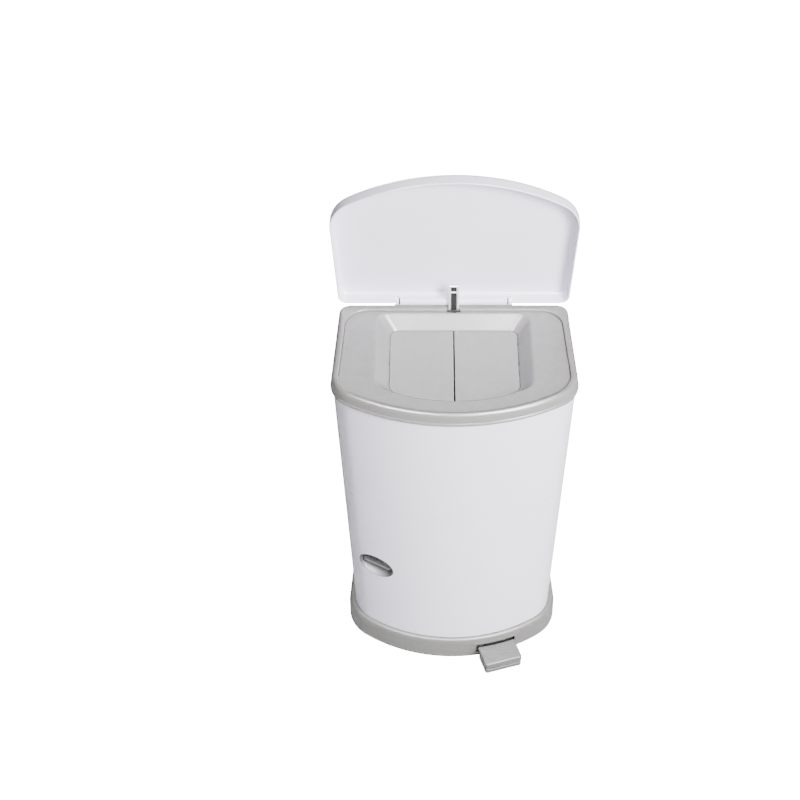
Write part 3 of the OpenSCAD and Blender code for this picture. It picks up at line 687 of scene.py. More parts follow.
def split(piece, y, drop=None):
    """Cuts the piece along the plane at this y; drop is "front" or "back" to throw one side away."""
    edit(piece)
    bpy.ops.mesh.select_all(action="SELECT")
    bpy.ops.mesh.bisect(plane_co=(0, y, 0), plane_no=(0, 1, 0), clear_outer=drop == "back",
                        clear_inner=drop == "front")
    done()
    return piece


# %% [markdown]
# The body is an open loft, split along the two jambs so that the doorway's edge runs straight. The
# faces in the doorway are picked and deleted, and Solidify gives the sheet its wall. The body keeps the
# band above the door and the back.

# %% Body shell
body_heights = heights(RING_TOP, OPENING_TOP) + heights(OPENING_TOP, BODY_TOP)[1:]
body = loft("body_moulding", [body_rim(z) for z in body_heights], "open")
split(body, JAMB_LEFT)
split(body, JAMB_RIGHT)


def in_doorway(face):
    at = middle(face)
    edge = JAMB_LEFT if at.x < 0 else JAMB_RIGHT
    return at.z < OPENING_TOP and at.y < edge


edit(body)
pick(body, "FACE", in_doorway)
bpy.ops.mesh.delete(type="FACE")
done()
modify(body, "SOLIDIFY", thickness=WALL, offset=-1.0, use_even_offset=True)
print("body wall, mm:", round(WALL / MM, 1), "doorway top, mm:", round(OPENING_TOP / MM, 1))

# %% [markdown]
# Inside, flanges stiffen the doorway: one over the door, one at the foot and a jamb at each side. They
# show only when the door is open. Each is a closed piece that sinks a little way into the wall.

# %% Doorway flanges
SINK = 0.4 * MM


def flange(name, low, deep):
    """A flat D-shaped shelf round the inside of the wall, in front of the jambs."""
    outer, inner = WALL - SINK, WALL + deep
    rims = [body_rim(low, outer), body_rim(low + WALL, outer), body_rim(low + WALL, inner),
            body_rim(low, inner)]
    shelf = loft(name, rims)
    split(shelf, JAMB_RIGHT, drop="back")
    edit(shelf, "EDGE")
    bpy.ops.mesh.select_non_manifold()
    bpy.ops.mesh.edge_face_add()
    done()
    return shelf


def jamb(sign, y):
    """An upright strip inside the wall, leaning with it: a unit block whose corners are moved."""
    strip = block("jamb", (0, y, 0), (1, y + WALL, 1))
    inner = body_side(DOOR_SIDE, DOOR_TOP) - WALL - 14 * MM
    for vertex in strip.data.vertices:
        z = OPENING_TOP if vertex.co.z > 0.5 else RING_TOP + WALL
        outer = body_side(y, z) - WALL + SINK
        vertex.co.x = sign * (outer if vertex.co.x > 0.5 else inner)
        vertex.co.z = z
    return outwards(strip)


FLANGE_DEEP = 9 * MM
frame_parts = [flange("lintel", OPENING_TOP, FLANGE_DEEP), flange("sill", RING_TOP, FLANGE_DEEP),
               jamb(-1, JAMB_LEFT), jamb(1, JAMB_RIGHT)]
soften(body, 0.6 * MM, segments=3, angle=60)
for part in frame_parts:
    soften(part, 0.5 * MM)
body = join("body_moulding", [body] + frame_parts)
put(body, "bin", "white_shell", white_shell, "body_shell")

# %% [markdown]
# ## The front door
# The rest of the surface, from the foot up to the gap. The door's left part holds the finger grip, so
# the wall is opened there with an oval. The hole could be cut in a coarse sheet, but long thin faces
# round it would dent the shading. Closer rims keep the curved wall even after the cut.

# %% Door wall
GRIP_X = FOOT_HALF - 35 * MM
GRIP_Z = RING_TOP + 134 * MM
GRIP_AT = Vector((-GRIP_X, body_front(GRIP_X, GRIP_Z), GRIP_Z))
GRIP_TURN = -atan2(body_front(GRIP_X + 20 * MM, GRIP_Z) - body_front(GRIP_X - 20 * MM, GRIP_Z), 40 * MM)
TO_GRIP = Matrix.Translation(GRIP_AT) @ Matrix.Rotation(GRIP_TURN, 4, "Z")
GRIP_A, GRIP_B, GRIP_DEEP = 30 * MM, 21 * MM, 15 * MM
print("grip at:", [round(v, 4) for v in GRIP_AT], "turned", round(GRIP_TURN * 180 / pi, 2), "degrees")


def at_grip(piece):
    piece.matrix_world = TO_GRIP
    return settle(piece)


door = loft("door_moulding", [body_rim(z) for z in heights(DOOR_FOOT, DOOR_TOP, 9 * MM)], "open")
split(door, DOOR_SIDE, drop="back")
modify(door, "SOLIDIFY", thickness=WALL, offset=-1.0, use_even_offset=True)


def oval(a, b, depth=0.0, lift=0.0, count=72):
    """Points of an upright oval, a and b being half its width and half its height."""
    return [Vector((a * cos(t), depth, lift + b * sin(t)))
            for t in (2 * pi * i / count for i in range(count))]


hole = at_grip(loft("hole", [oval(GRIP_A + 0.1 * MM, GRIP_B + 0.1 * MM, depth)
                             for depth in (-30 * MM, 30 * MM)], "cap"))
carve(door, hole)
soften(door, 0.5 * MM, segments=3, angle=60)

# %% [markdown]
# The hinge barrel runs up the door's right edge, just inside the wall, and hides there when the door is
# shut. It leans with the wall, so it is a cylinder primitive between two points of that edge, bored for
# the hinge pins.

# %% Door hinge barrel
HINGE_R, HINGE_IN = 4.4 * MM, 4.5 * MM
PIN_BORE = 2.05 * MM
hinge_foot = Vector((body_side(DOOR_SIDE, DOOR_FOOT) - HINGE_IN, DOOR_SIDE, DOOR_FOOT))
hinge_head = Vector((body_side(DOOR_SIDE, DOOR_TOP) - HINGE_IN, DOOR_SIDE, DOOR_TOP))
along = (hinge_head - hinge_foot).normalized()
barrel = rod("door_barrel", HINGE_R, hinge_foot + along * 0.2 * MM, hinge_head - along * 0.2 * MM)
carve(barrel, rod("bore", PIN_BORE, hinge_foot - along * 5 * MM, hinge_head + along * 5 * MM))
soften(barrel, 0.3 * MM)
door = join("door_moulding", [door, barrel])
put(door, "door", "white_shell", white_shell, "front_door")

# %% [markdown]
# ## The finger grip
# An oval scoop behind the door: its upper wall goes straight in, and its floor sweeps down and out to
# the lower lip, so fingers slide in under the latch paddle. A squashed sphere cut out of a block would be
# as deep at the top as at the bottom. This is a loft of ovals that move up and shrink as they go deeper.
# The first oval is laid on the door's own surface, so the lip is flush all the way round.

# %% Grip scoop
#   depth, top, bottom and half width of each oval, in millimetres
SCOOP = [(0.5, 19.4, -19.8, 28.6), (1.4, 19.0, -19.2, 28.0), (3.5, 18.9, -18.3, 27.8),
         (6.0, 18.8, -16.8, 27.6), (8.5, 18.6, -14.6, 27.2), (10.8, 18.2, -11.6, 26.4),
         (12.8, 17.4, -7.6, 24.8), (14.2, 15.8, -3.0, 21.6), (14.9, 12.8, 2.2, 16.0),
         (15.0, 9.6, 6.4, 7.0)]
CUP_WALL = 1.8


def on_door(point, depth):
    """Lays a point drawn round the grip on the door's outer surface, then moves it in by depth."""
    spot = TO_GRIP @ Vector((point.x, 0, point.z))
    turn = Vector((sin(GRIP_TURN), -cos(GRIP_TURN), 0))
    for _ in range(6):
        gap = body_front(spot.x, spot.z) - spot.y
        spot = spot + turn * (-gap * cos(GRIP_TURN))
    return spot - turn * depth


def scoop_oval(depth, top, bottom, half, outwards_by=0.0):
    """An oval that follows the door's curve near the surface and lies flat from 6 mm in."""
    a = half + outwards_by
    b = (top - bottom) / 2 + outwards_by
    flat = oval(a * MM, b * MM, 0, (top + bottom) / 2 * MM)
    share = min(1.0, depth / 6.0)
    laid = []
    for point in flat:
        skin = on_door(point, depth * MM)
        straight = TO_GRIP @ Vector((point.x, depth * MM, point.z))
        laid.append(skin.lerp(straight, share))
    return laid


inner_ovals = [scoop_oval(*row) for row in SCOOP]
lip_ovals = [scoop_oval(0.05, 20.9, -20.9, 29.9), scoop_oval(0.05, 20.2, -20.4, 29.3)]
outer_ovals = [scoop_oval(depth + CUP_WALL, top, bottom, half, 1.6)
               for depth, top, bottom, half in SCOOP[::-1]]
outer_ovals = outer_ovals[:-2] + [scoop_oval(3.2, 20.9, -20.9, 29.9)]
cup = loft("grip_scoop", inner_ovals[::-1] + lip_ovals[::-1] + outer_ovals[::-1], "cap")
soften(cup, 0, smooth=50)

# %% [markdown]
# The scoop is a mid grey that pales towards its lower lip, where it meets the white door. The paling is
# painted light, standing in for the light that reaches the lower part of the scoop. Two materials would
# meet in a hard line, so one colour fades into the other by height. The height comes from Object
# coordinates, and the fade is mixed in just before the plastic's own shader.

# %% Grip finish, with painted light on the lower lip
LIP_FADE_TOP, LIP_FADE_FOOT = GRIP_Z - 10 * MM, GRIP_Z - 20 * MM
PAINTED_LIP_LIGHT = (0.24, 0.234, 0.255, 1)
tree = grip_grey_painted_lip.node_tree
place = node(tree, "ShaderNodeTexCoord")
height = node(tree, "ShaderNodeSeparateXYZ", {"Vector": place.outputs["Object"]})
painted_light_share = node(tree, "ShaderNodeMapRange", {"Value": height.outputs["Z"], "From Min": LIP_FADE_TOP,
                                         "From Max": LIP_FADE_FOOT}, interpolation_type="SMOOTHSTEP")
shader = tree.nodes["Principled BSDF"]
grey = shader.inputs["Base Color"].links[0].from_socket
# painted light: the grey pales towards the lower lip, standing in for the light that reaches it
fade = node(tree, "ShaderNodeMix", {"Factor": painted_light_share.outputs["Result"], 6: grey, 7: PAINTED_LIP_LIGHT},
            data_type="RGBA")
tree.links.new(fade.outputs[2], shader.inputs["Base Color"])
put(cup, "door", "dark_grey", grip_grey_painted_lip, "door_grip_cup")

# %% [markdown]
# ## The latch paddle
# A thin blade across the scoop, hung on a rod at its back edge, which fingers pull to open the door. The
# blade is a cube whose two front corners are bevelled wide, to follow the oval, and whose edges are then
# rounded. It is drawn straight, round the grip's own middle, and turned to its place with the rod.

# %% Latch paddle
PADDLE_BACK = GRIP_DEEP - 5 * MM
BLADE_HALF, ROD_HALF, PIN_HALF = 24 * MM, 22 * MM, 26.8 * MM


def round_front(piece, front_of, radius, segments):
    """Bevels the upright edges of a block that lie in front of this y."""
    edit(piece)
    pick(piece, "EDGE", lambda e: upright(e) and middle(e).y < front_of)
    bpy.ops.mesh.bevel(offset=radius, segments=segments, affect="EDGES")
    done()


paddle = block("latch_blade", (-BLADE_HALF, 2.6 * MM, -1.8 * MM), (BLADE_HALF, PADDLE_BACK, 1.8 * MM))
round_front(paddle, 5 * MM, 5 * MM, 6)
soften(paddle, 0.9 * MM, segments=4)
paddle_rod = rod("paddle_rod", 2.4 * MM, (-ROD_HALF, PADDLE_BACK, 0), (ROD_HALF, PADDLE_BACK, 0))
paddle_pin = rod("paddle_pin", 1.2 * MM, (-PIN_HALF, PADDLE_BACK, 0), (PIN_HALF, PADDLE_BACK, 0), 24)
for part in (paddle_rod, paddle_pin):
    soften(part, 0.3 * MM)
paddle = at_grip(join("latch_paddle", [paddle, paddle_rod, paddle_pin]))
put(paddle, "latch_paddle", "dark_grey", grip_grey_painted_lip, "door_latch_paddle")

# %% [markdown]
# ## The deck rim
# A grey ring with a rolled outer edge and a small step down to the inner deck. A tube along the rim would
# give the roll but not the skirt or the step. It is a loft that closes on itself instead: up the skirt,
# over the roll, down the step, and back underneath. At the flat back the roll dies away, because the lid
# hangs there, and two boxes cut the lifter's way through.

# %% Deck rim
TOP = DECK_TOP / MM
rim_lip = [(2.2, 20), (0.5, 20), (0.1, 19.8), (0, 19.3), (0, 18.3)]
rim_skirt = curl((0, 18.2), (0.1, 17), (1.5, 15.6), 4) + [(1.6, 12), (1.7, 8.5)]
ROLL, ROLL_IN = 7.0, 1.75
rim_roll = [(ROLL_IN + ROLL * (1 - cos(a)), ROLL * (1 - sin(a)))
            for a in (radians(9 * i) for i in range(11))]
deck_rims = [rim(DECK, x * MM, (TOP - drop) * MM) for x, drop in rim_lip + rim_skirt]
for x, drop in rim_roll:
    rolled = rim(DECK, x * MM, (TOP - drop) * MM)
    square = rim(DECK, (0.9 + 0.2 * (x - ROLL_IN)) * MM, (TOP - 0.18 * drop) * MM)
    deck_rims.append([a.lerp(b, smooth(BACK - 24 * MM, BACK - 6 * MM, a.y))
                      for a, b in zip(rolled, square)])
deck_rims += [rim(INNER, x * MM, (TOP - drop) * MM) for x, drop in
              [(-3.0, 0)] + curl((-2.1, 0), (-1.1, 0.1), (-0.6, 1.4), 4) + [(-0.5, 3)]]
deck_rims += [rim(INNER, -0.5 * MM, BODY_TOP),
              rim(DECK, 2.7 * MM, BODY_TOP), rim(DECK, 2.7 * MM, SKIRT_FOOT + 0.6 * MM)]
deck = loft("deck_moulding", deck_rims)
chan_low, chan_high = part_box("lid_lifter")
CHAN_HALF = 7.6 * MM
CHAN_FRONT = chan_low.y + 2 * MM
SLOT_HALF = CHAN_HALF + 2.1 * MM
slot_front = chan_low.y - 2.4 * MM
carve(deck, block("lifter_slot", (-SLOT_HALF, slot_front - 3 * MM, SKIRT_FOOT - 5 * MM),
                  (SLOT_HALF, chan_low.y + 1.9 * MM, DECK_TOP + 5 * MM)))
carve(deck, block("lifter_way", (-CHAN_HALF - 0.3 * MM, slot_front, SKIRT_FOOT - 5 * MM),
                  (CHAN_HALF + 0.3 * MM, chan_high.y + 0.3 * MM, DECK_TOP + 5 * MM)))
soften(deck, 0.3 * MM, angle=60)
put(deck, "bin", "deck_grey", deck_grey, "deck_rim")
print("rims in the deck's loft:", len(deck_rims))

# %% [markdown]
# ## The inner deck with its hopper
# One moulding: a flat plate, a softly rounded fall into the hopper on all four sides, and a throat at
# the bottom that the two flaps close. The round at the top of the fall is wide, which is why the corners
# of the hopper catch such soft light. A bevel as wide as that would pinch at the corners, so the loft
# takes nine rims along a curve there, between the flat plate and the straight part of the fall.

# %% Hopper moulding
plate_foot = INNER_TOP - 3 * MM
hopper_top = rim(throat(18.5 * MM, 19.5 * MM, 18.5 * MM, 15 * MM, 24 * MM), 0, INNER_TOP)
throat_rim = rim(throat(0), 0, THROAT_TOP)


def fall(share):
    """A rim on the hopper's fall: 0 is its top edge and 1 the throat."""
    return between(hopper_top, throat_rim, share)


flat_start = rim(throat(20.9 * MM, 20.6 * MM, 20.9 * MM, 17 * MM, 26 * MM), 0, INNER_TOP)
fall_start = fall(0.13)
round_over = [[a * (1 - t) ** 2 + b * 2 * t * (1 - t) + c * t * t
               for a, b, c in zip(flat_start, hopper_top, fall_start)]
              for t in (i / 8 for i in range(9))]
plate_edge = rim(INNER, 1.2 * MM, INNER_TOP)
hopper_rims = [rim(INNER, 0.3 * MM, plate_foot), rim(INNER, -0.2 * MM, INNER_TOP - 0.8 * MM),
               rim(INNER, 0, INNER_TOP - 0.2 * MM), rim(INNER, 0.5 * MM, INNER_TOP), plate_edge,
               between(plate_edge, flat_start, 0.33), between(plate_edge, flat_start, 0.66)]
hopper_rims += round_over
hopper_rims += [fall(share) for share in (0.25, 0.4, 0.55, 0.7, 0.85, 0.96)]
hopper_rims += [rim(throat(0.05 * MM), 0, THROAT_TOP - 0.1 * MM),
                rim(throat(0), 0, THROAT_TOP - 0.5 * MM), rim(throat(0), 0, THROAT_TOP - 2.5 * MM)]
hopper_rims += [rim(throat(8.5 * MM, 8.5 * MM, 17.4 * MM), 0, THROAT_TOP - 2.5 * MM),
                rim(throat(20.9 * MM, 17.5 * MM, 20.5 * MM, 24 * MM, 25 * MM), 0, plate_foot)]
hopper = loft("hopper_moulding", hopper_rims)
carve(hopper, block("deck_notch", (-SLOT_HALF, slot_front, plate_foot - 1 * MM),
                    (SLOT_HALF, BACK, DECK_TOP)))
soften(hopper, 0, smooth=35)
print("rims in the hopper's loft:", len(hopper_rims))

# %% [markdown]
# Under the throat, three small ears on each side carry the flaps' pins. An ear and a flap's knuckle are
# the same thing with different sizes: a ring round the pin and an arm to the moulding. So one function
# draws both, as a rod joined to a block and bored through.

# %% Hopper ears
FLAP_X = THROAT_HALF + 2.7 * MM
FLAP_Z = THROAT_TOP - 5.6 * MM
EAR_R, KNUCKLE_R, PIN_R = 2.9 * MM, 2.7 * MM, 1.5 * MM
EAR_LONG, KNUCKLE_LONG = 4 * MM, 16 * MM


def pin_eye(name, x, start, stop, radius, bore, arm_ends, arm_high):
    """A ring round a flap's pin, with an arm that reaches from one x to another."""
    eye = rod(name, radius, (x, start, FLAP_Z), (x, stop, FLAP_Z), 32)
    arm = block("arm", (min(arm_ends), start, FLAP_Z), (max(arm_ends), stop, FLAP_Z + arm_high))
    carve(eye, arm, "UNION")
    carve(eye, rod("bore", bore, (x, start - MM, FLAP_Z), (x, stop + MM, FLAP_Z), 32))
    return eye


ears = []
for x in (-FLAP_X, FLAP_X):
    for start in (THROAT_FRONT + 27 * MM, THROAT_FRONT + 82 * MM, THROAT_BACK - 9 * MM):
        ear = pin_eye("ear", x, start, start + EAR_LONG, EAR_R, PIN_R + 0.02 * MM,
                      (x - EAR_R, x + EAR_R), 4.6 * MM)
        ears.append(soften(ear, 0.2 * MM))
hopper = join("hopper_moulding", [hopper] + ears)
put(hopper, "hopper", "deck_grey", deck_grey, "hopper_deck")

# %% [markdown]
# ## The two flaps
# Each flap is half of the throat's own D, a fraction smaller, with a rounded edge and two knuckles that
# turn on a pin under the throat's lip. Drawing the outline again for each half could leave the two out of
# step, so the whole D is drawn and a block takes the other half away.

# %% Flaps
FLAP_TOP = THROAT_TOP - 0.2 * MM
FLAP_T = 2.4 * MM
FLAP_GAP = 0.8 * MM


def flap(sign):
    outline = throat(-FLAP_GAP, -FLAP_GAP, -FLAP_GAP, 11.4 * MM, 14.4 * MM)
    sheet = loft("flap", [rim(outline, 0, FLAP_TOP - FLAP_T), rim(outline, 0, FLAP_TOP)], "cap")
    other_half = block("half", (0 if sign < 0 else -1, -1, 0), (1 if sign < 0 else 0, 1, 1))
    other_half.location.x = sign * MM
    carve(sheet, settle(other_half))
    soften(sheet, 0.55 * MM, segments=3, angle=60)
    parts = [sheet]
    for start in (THROAT_FRONT + 32 * MM, THROAT_BACK - 26 * MM):
        knuckle = pin_eye("knuckle", sign * FLAP_X, start, start + KNUCKLE_LONG, KNUCKLE_R,
                          PIN_R + 0.05 * MM, (sign * FLAP_X, sign * (FLAP_X - 9.7 * MM)), 2.6 * MM)
        parts.append(soften(knuckle, 0.25 * MM))
    return parts


for sign, side in ((-1, "left"), (1, "right")):
    piece = join(f"{side}_flap_moulding", flap(sign))
    put(piece, f"flap_{side}", "deck_grey", flap_grey, f"{side}_flap")

# %% [markdown]
# ## The lid
# A shallow dish that is drawn closed, lying on the deck, and then swung open about its hinge, exactly as
# the real one moves. One loft runs from the middle of its inside, down the inside of the skirt, round
# the edge and up over the outside to the middle of its top. A solid block that Solidify hollows out would
# have the same round inside and outside; here each has its own. A box cuts the notch for the hinge.

# %% Lid dish
LID_FOOT = DECK_TOP + 1 * MM
LID_H = 22 * MM
LID_T = 2.6 * MM
LID_OPEN = radians(83)
HINGE_Y = BACK + 0.3 * MM
BARREL_R = 5.8 * MM
HINGE_Z = DECK_TOP + BARREL_R + 0.5 * MM
low = LID_FOOT / MM
high = (LID_FOOT + LID_H) / MM
lid_profile = [(9.5, high - 2.6)]
lid_profile += curl((9.0, high - 2.62), (2.9, high - 2.9), (2.62, high - 11.0), 10)
lid_profile += [(2.6, high - 13), (2.6, low + 1.6)] + curl((2.55, low + 1.0), (2.3, low), (1.5, low), 3)
lid_profile += curl((1.0, low), (0.1, low), (0, low + 1.0), 3) + [(0, low + 5)]
lid_profile += curl((0, high - 9.5), (0.4, high - 0.2), (8, high), 10)
lid_rims = [rim(LID, x * MM, z * MM) for x, z in lid_profile]
lid_rims = [shrink(lid_rims[0], 0.35), shrink(lid_rims[0], 0.7)] + lid_rims
lid_rims += [shrink(lid_rims[-1], 0.7), shrink(lid_rims[-1], 0.35)]
lid = loft("lid_moulding", lid_rims, "cap")
BARREL_HALF = 78 * MM
EAR_IN, EAR_OUT = 80 * MM, 84 * MM
NOTCH_HALF = EAR_OUT + 0.8 * MM
NOTCH_TOP = HINGE_Z + 6.7 * MM
carve(lid, block("notch", (-NOTCH_HALF, BACK - LID_T - 1.5 * MM, LID_FOOT - 5 * MM),
                 (NOTCH_HALF, BACK + 5 * MM, NOTCH_TOP)))
soften(lid, 0.4 * MM, angle=60)
SWING = (Matrix.Translation((0, HINGE_Y, HINGE_Z)) @ Matrix.Rotation(-LID_OPEN, 4, "X")
         @ Matrix.Translation((0, -HINGE_Y, -HINGE_Z)))


def swung_open(piece):
    piece.matrix_world = SWING
    return settle(piece)


swung_open(lid)
put(lid, "lid", "white_shell", lid_white, "lid_shell")
print("lid opens, degrees:", round(LID_OPEN * 180 / pi), "rims in its loft:", len(lid_rims))

# %% [markdown]
# The hinge barrel is a rod across the notch, joined to the skirt by a narrow web. It is a piece of its
# own, as in the CAD, and is drawn closed and swung open like the lid, so that the two stay in line.

# %% Lid hinge barrel
barrel = rod("hinge_barrel", BARREL_R, (-BARREL_HALF, HINGE_Y, HINGE_Z),
             (BARREL_HALF, HINGE_Y, HINGE_Z), 48)
web = block("web", (-BARREL_HALF, BACK - LID_T, HINGE_Z), (BARREL_HALF, BACK, NOTCH_TOP))
carve(barrel, web, "UNION")
for sign in (-1, 1):
    carve(barrel, rod("bore", PIN_BORE, (sign * (BARREL_HALF - 18 * MM), HINGE_Y, HINGE_Z),
                      (sign * (BARREL_HALF + MM), HINGE_Y, HINGE_Z), 32))
soften(barrel, 0.4 * MM)
swung_open(barrel)
put(barrel, "lid", "white_shell", lid_white, "lid_hinge_barrel")

# %% [markdown]
# A black rubber washer on the pin takes up the play between each end of the barrel and its ear. Its
# black is painted shade: it stands in for the shadow in that gap, and shows as a thin dark line on each
# side of the barrel.

# %% Hinge washers, black as painted shade
painted_shade_washers = []
for sign in (-1, 1):
    # painted shade: black rubber in the gap beside each end of the barrel
    painted_shade_washer = rod("painted_shade_washer", BARREL_R - 0.7 * MM, (sign * (BARREL_HALF + 0.1 * MM), HINGE_Y, HINGE_Z),
                 (sign * (EAR_IN - 0.1 * MM), HINGE_Y, HINGE_Z), 40)
    carve(painted_shade_washer, rod("bore", 2.1 * MM, (sign * (BARREL_HALF - MM), HINGE_Y, HINGE_Z),
                      (sign * (EAR_IN + MM), HINGE_Y, HINGE_Z), 32))
    painted_shade_washers.append(soften(painted_shade_washer, 0.2 * MM))
put(join("hinge_painted_shade_washers", painted_shade_washers), "lid", "rubber", rubber_and_painted_shade)

# %% [markdown]
# ## Pieces whose CAD form is already right
# Brackets, guides and rails keep their CAD form, but a real moulding or pressing has no razor-sharp
# edge. Modelling them again could only move them. Each is copied instead, its loose triangles are merged
# and dissolved back into flat faces, and a small bevel goes round its edges.

# %% Rounded copies of plain CAD pieces
def rounded_copy(node_name, name, width):
    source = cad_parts[node_name]
    copy = bpy.data.objects.new(name, source.data.copy())
    bpy.context.scene.collection.objects.link(copy)
    copy.data.name = name
    edit(copy)
    bpy.ops.mesh.select_all(action="SELECT")
    bpy.ops.mesh.remove_doubles(threshold=WELD)
    bpy.ops.mesh.dissolve_limited(angle_limit=radians(1.0))
    done()
    return soften(copy, width, 2, 40)


#   CAD node, new name, bevel in millimetres, body, slot, material
ROUNDED = [
    ("hinge_mount", "hinge_bracket", 0.6, "bin", "white_shell", white_shell),
    ("rod_cover", "rod_duct", 0.4, "bin", "inner_white", inner_white),
    ("rod_guides", "rod_guide_blocks", 0.4, "bin", "inner_white", inner_white),
    ("door_catch", "catch_hook", 0.3, "door", "white_shell", white_shell),
    ("door_keeper", "keeper_plate", 0.3, "bin", "steel", bare_steel),
    ("pedal_bracket", "pivot_bracket", 0.4, "bin", "steel", dark_grey),
    ("cutter_rail", "cutter_track", 0.5, "bin", "inner_white", inner_white),
    ("cutter_slider", "cutter_slide_knob", 0.8, "cutter", "dark_grey", dark_grey),
]
for node_name, name, width, body_name, slot_name, material in ROUNDED:
    put(rounded_copy(node_name, name, width * MM), body_name, slot_name, material, node_name)

# %% [markdown]
# ## The lid's lifter
# A plated channel stands up through the deck beside the hinge and pushes the lid open. A black plastic
# slide fills its hollow behind a short steel pin. Its black is painted shade, standing in for the shade
# inside the open channel, so from the front it reads as two bright edges with a dark line between. A
# folded sheet would have one thickness, and this channel's sides are thicker than its back. So it is a
# cube with a second cube cut out of its front, and its edges are rolled over with a bevel. Round its
# foot, a black wiper closes the slot in the deck; its black is painted shade as well, for the shade down
# in the slot.

# %% Lifter channel, slide, pin and wiper; slide and wiper black as painted shade
HOLLOW_HALF = CHAN_HALF - 3.4 * MM
SLIDE_PLAY, WIPER_PLAY = 0.05 * MM, 0.15 * MM
channel = block("lifter_channel", (-CHAN_HALF, CHAN_FRONT, chan_low.z),
                (CHAN_HALF, chan_high.y, chan_high.z))
hollow = block("hollow", (-HOLLOW_HALF, CHAN_FRONT - 1 * MM, chan_low.z - 1 * MM),
               (HOLLOW_HALF, chan_high.y - 0.9 * MM, chan_high.z - 2 * MM))
carve(channel, hollow)
soften(channel, 0.9 * MM, segments=4)
put(channel, "lifter", "chrome", chrome, "lid_lifter")
# painted shade: the black slide stands in for the shade inside the open channel
painted_shade_slide = block("lifter_slide", (-HOLLOW_HALF + SLIDE_PLAY, CHAN_FRONT + 1.4 * MM, chan_low.z + 2 * MM),
              (HOLLOW_HALF - SLIDE_PLAY, chan_high.y - 0.95 * MM, chan_high.z - 2.1 * MM))
soften(painted_shade_slide, 0.3 * MM)
put(painted_shade_slide, "lifter", "rubber", rubber_and_painted_shade)
pin_at = Vector((0, CHAN_FRONT + 1.1 * MM, chan_high.z - 12 * MM))
pin_reach = Vector((HOLLOW_HALF, 0, 0))
lifter_pin = rod("lifter_pin", 1.1 * MM, pin_at - pin_reach, pin_at + pin_reach, 24)
soften(lifter_pin, 0.2 * MM)
put(lifter_pin, "lifter", "steel", bare_steel)
# the wiper closes the slot, and its black is painted shade, standing in for the shade down in the slot
painted_shade_wiper = block("slot_painted_shade_wiper", (-SLOT_HALF + 0.1 * MM, slot_front + 0.1 * MM, DECK_TOP - 3.2 * MM),
              (SLOT_HALF - 0.1 * MM, chan_low.y + 4 * MM, DECK_TOP - 1.8 * MM))
mouth_half = CHAN_HALF + WIPER_PLAY
for sign in (1, -1):
    left, right = sorted((sign * mouth_half, sign * (SLOT_HALF + MM)))
    carve(painted_shade_wiper, block("wiper_back", (left, chan_low.y + 1.8 * MM, DECK_TOP - 4 * MM),
                       (right, chan_low.y + 5 * MM, DECK_TOP)))
carve(painted_shade_wiper, block("wiper_mouth", (-mouth_half, CHAN_FRONT - WIPER_PLAY, DECK_TOP - 4 * MM),
                   (mouth_half, chan_low.y + 5 * MM, DECK_TOP)))
soften(painted_shade_wiper, 0.2 * MM)
put(painted_shade_wiper, "bin", "rubber", rubber_and_painted_shade)

# %% [markdown]
# ## The pedal
# The tread is a cube whose front corners are rounded, whose front fold is rolled, and whose top has
# shallow grooves across it. Thin boxes could be cut out for them, but cut lines on the mesh and strips of
# faces pushed down between them do it with fewer steps. A rod as round as the ring's bow then trims the
# tread's back, so that it stays clear of the ring.

# %% Pedal tread
TREAD_FRONT = -(FACE + 39 * MM)
TREAD_BACK = -(FACE - 2 * MM)
tread_low, tread_high = 14.5 * MM - PIVOT.z, 24.5 * MM - PIVOT.z
GROOVE_WIDE, GROOVE_DEEP = 1.3 * MM, 0.45 * MM
GROOVE_END = PEDAL_HALF - 5 * MM
groove_rows = [TREAD_FRONT + (6 + 4 * i) * MM for i in range(7)]
tread = block("pedal_tread", (-PEDAL_HALF, TREAD_FRONT, tread_low), (PEDAL_HALF, TREAD_BACK, tread_high))
round_front(tread, -FACE, 4.5 * MM, 8)
edit(tread)
pick(tread, "EDGE", lambda e: all(abs(v.co.z - tread_high) < NEAR for v in e.verts)
     and middle(e).y < TREAD_BACK - 0.5 * MM)
bpy.ops.mesh.bevel(offset=2.2 * MM, segments=5, affect="EDGES")
for row in groove_rows:
    for y in (row, row + GROOVE_WIDE):
        bpy.ops.mesh.select_all(action="SELECT")
        bpy.ops.mesh.bisect(plane_co=(0, y, 0), plane_no=(0, 1, 0))
for x in (-GROOVE_END, GROOVE_END):
    bpy.ops.mesh.select_all(action="SELECT")
    bpy.ops.mesh.bisect(plane_co=(x, 0, 0), plane_no=(1, 0, 0))


def in_groove(face):
    at = middle(face)
    row_hit = any(row < at.y < row + GROOVE_WIDE for row in groove_rows)
    return row_hit and face.normal.z > 0.99 and abs(at.x) < GROOVE_END


pick(tread, "FACE", in_groove)
bpy.ops.mesh.extrude_region_move(TRANSFORM_OT_translate={"value": (0, 0, -GROOVE_DEEP)})
done()
at_pedal(tread)
carve(tread, rod("ring_clearance", BOW_R + 3.6 * MM, bow_centre,
                 bow_centre + Vector((0, 0, RING_TOP)), 512))
soften(tread, 0.3 * MM, angle=50)
put(tread, "pedal", "base_grey", tread_grey, "pedal_pad")

# %% [markdown]
# A thinner plate under the tread closes the pedal's shell. Between the two, a black rubber gasket shows
# as a thin dark line: its black is painted shade, standing in for the shadow in the seam between the
# plates. It runs back under the ring's wall so that no light comes through the slot.
# Both are cubes with rounded front corners, set in by different amounts, as pressed layers are.

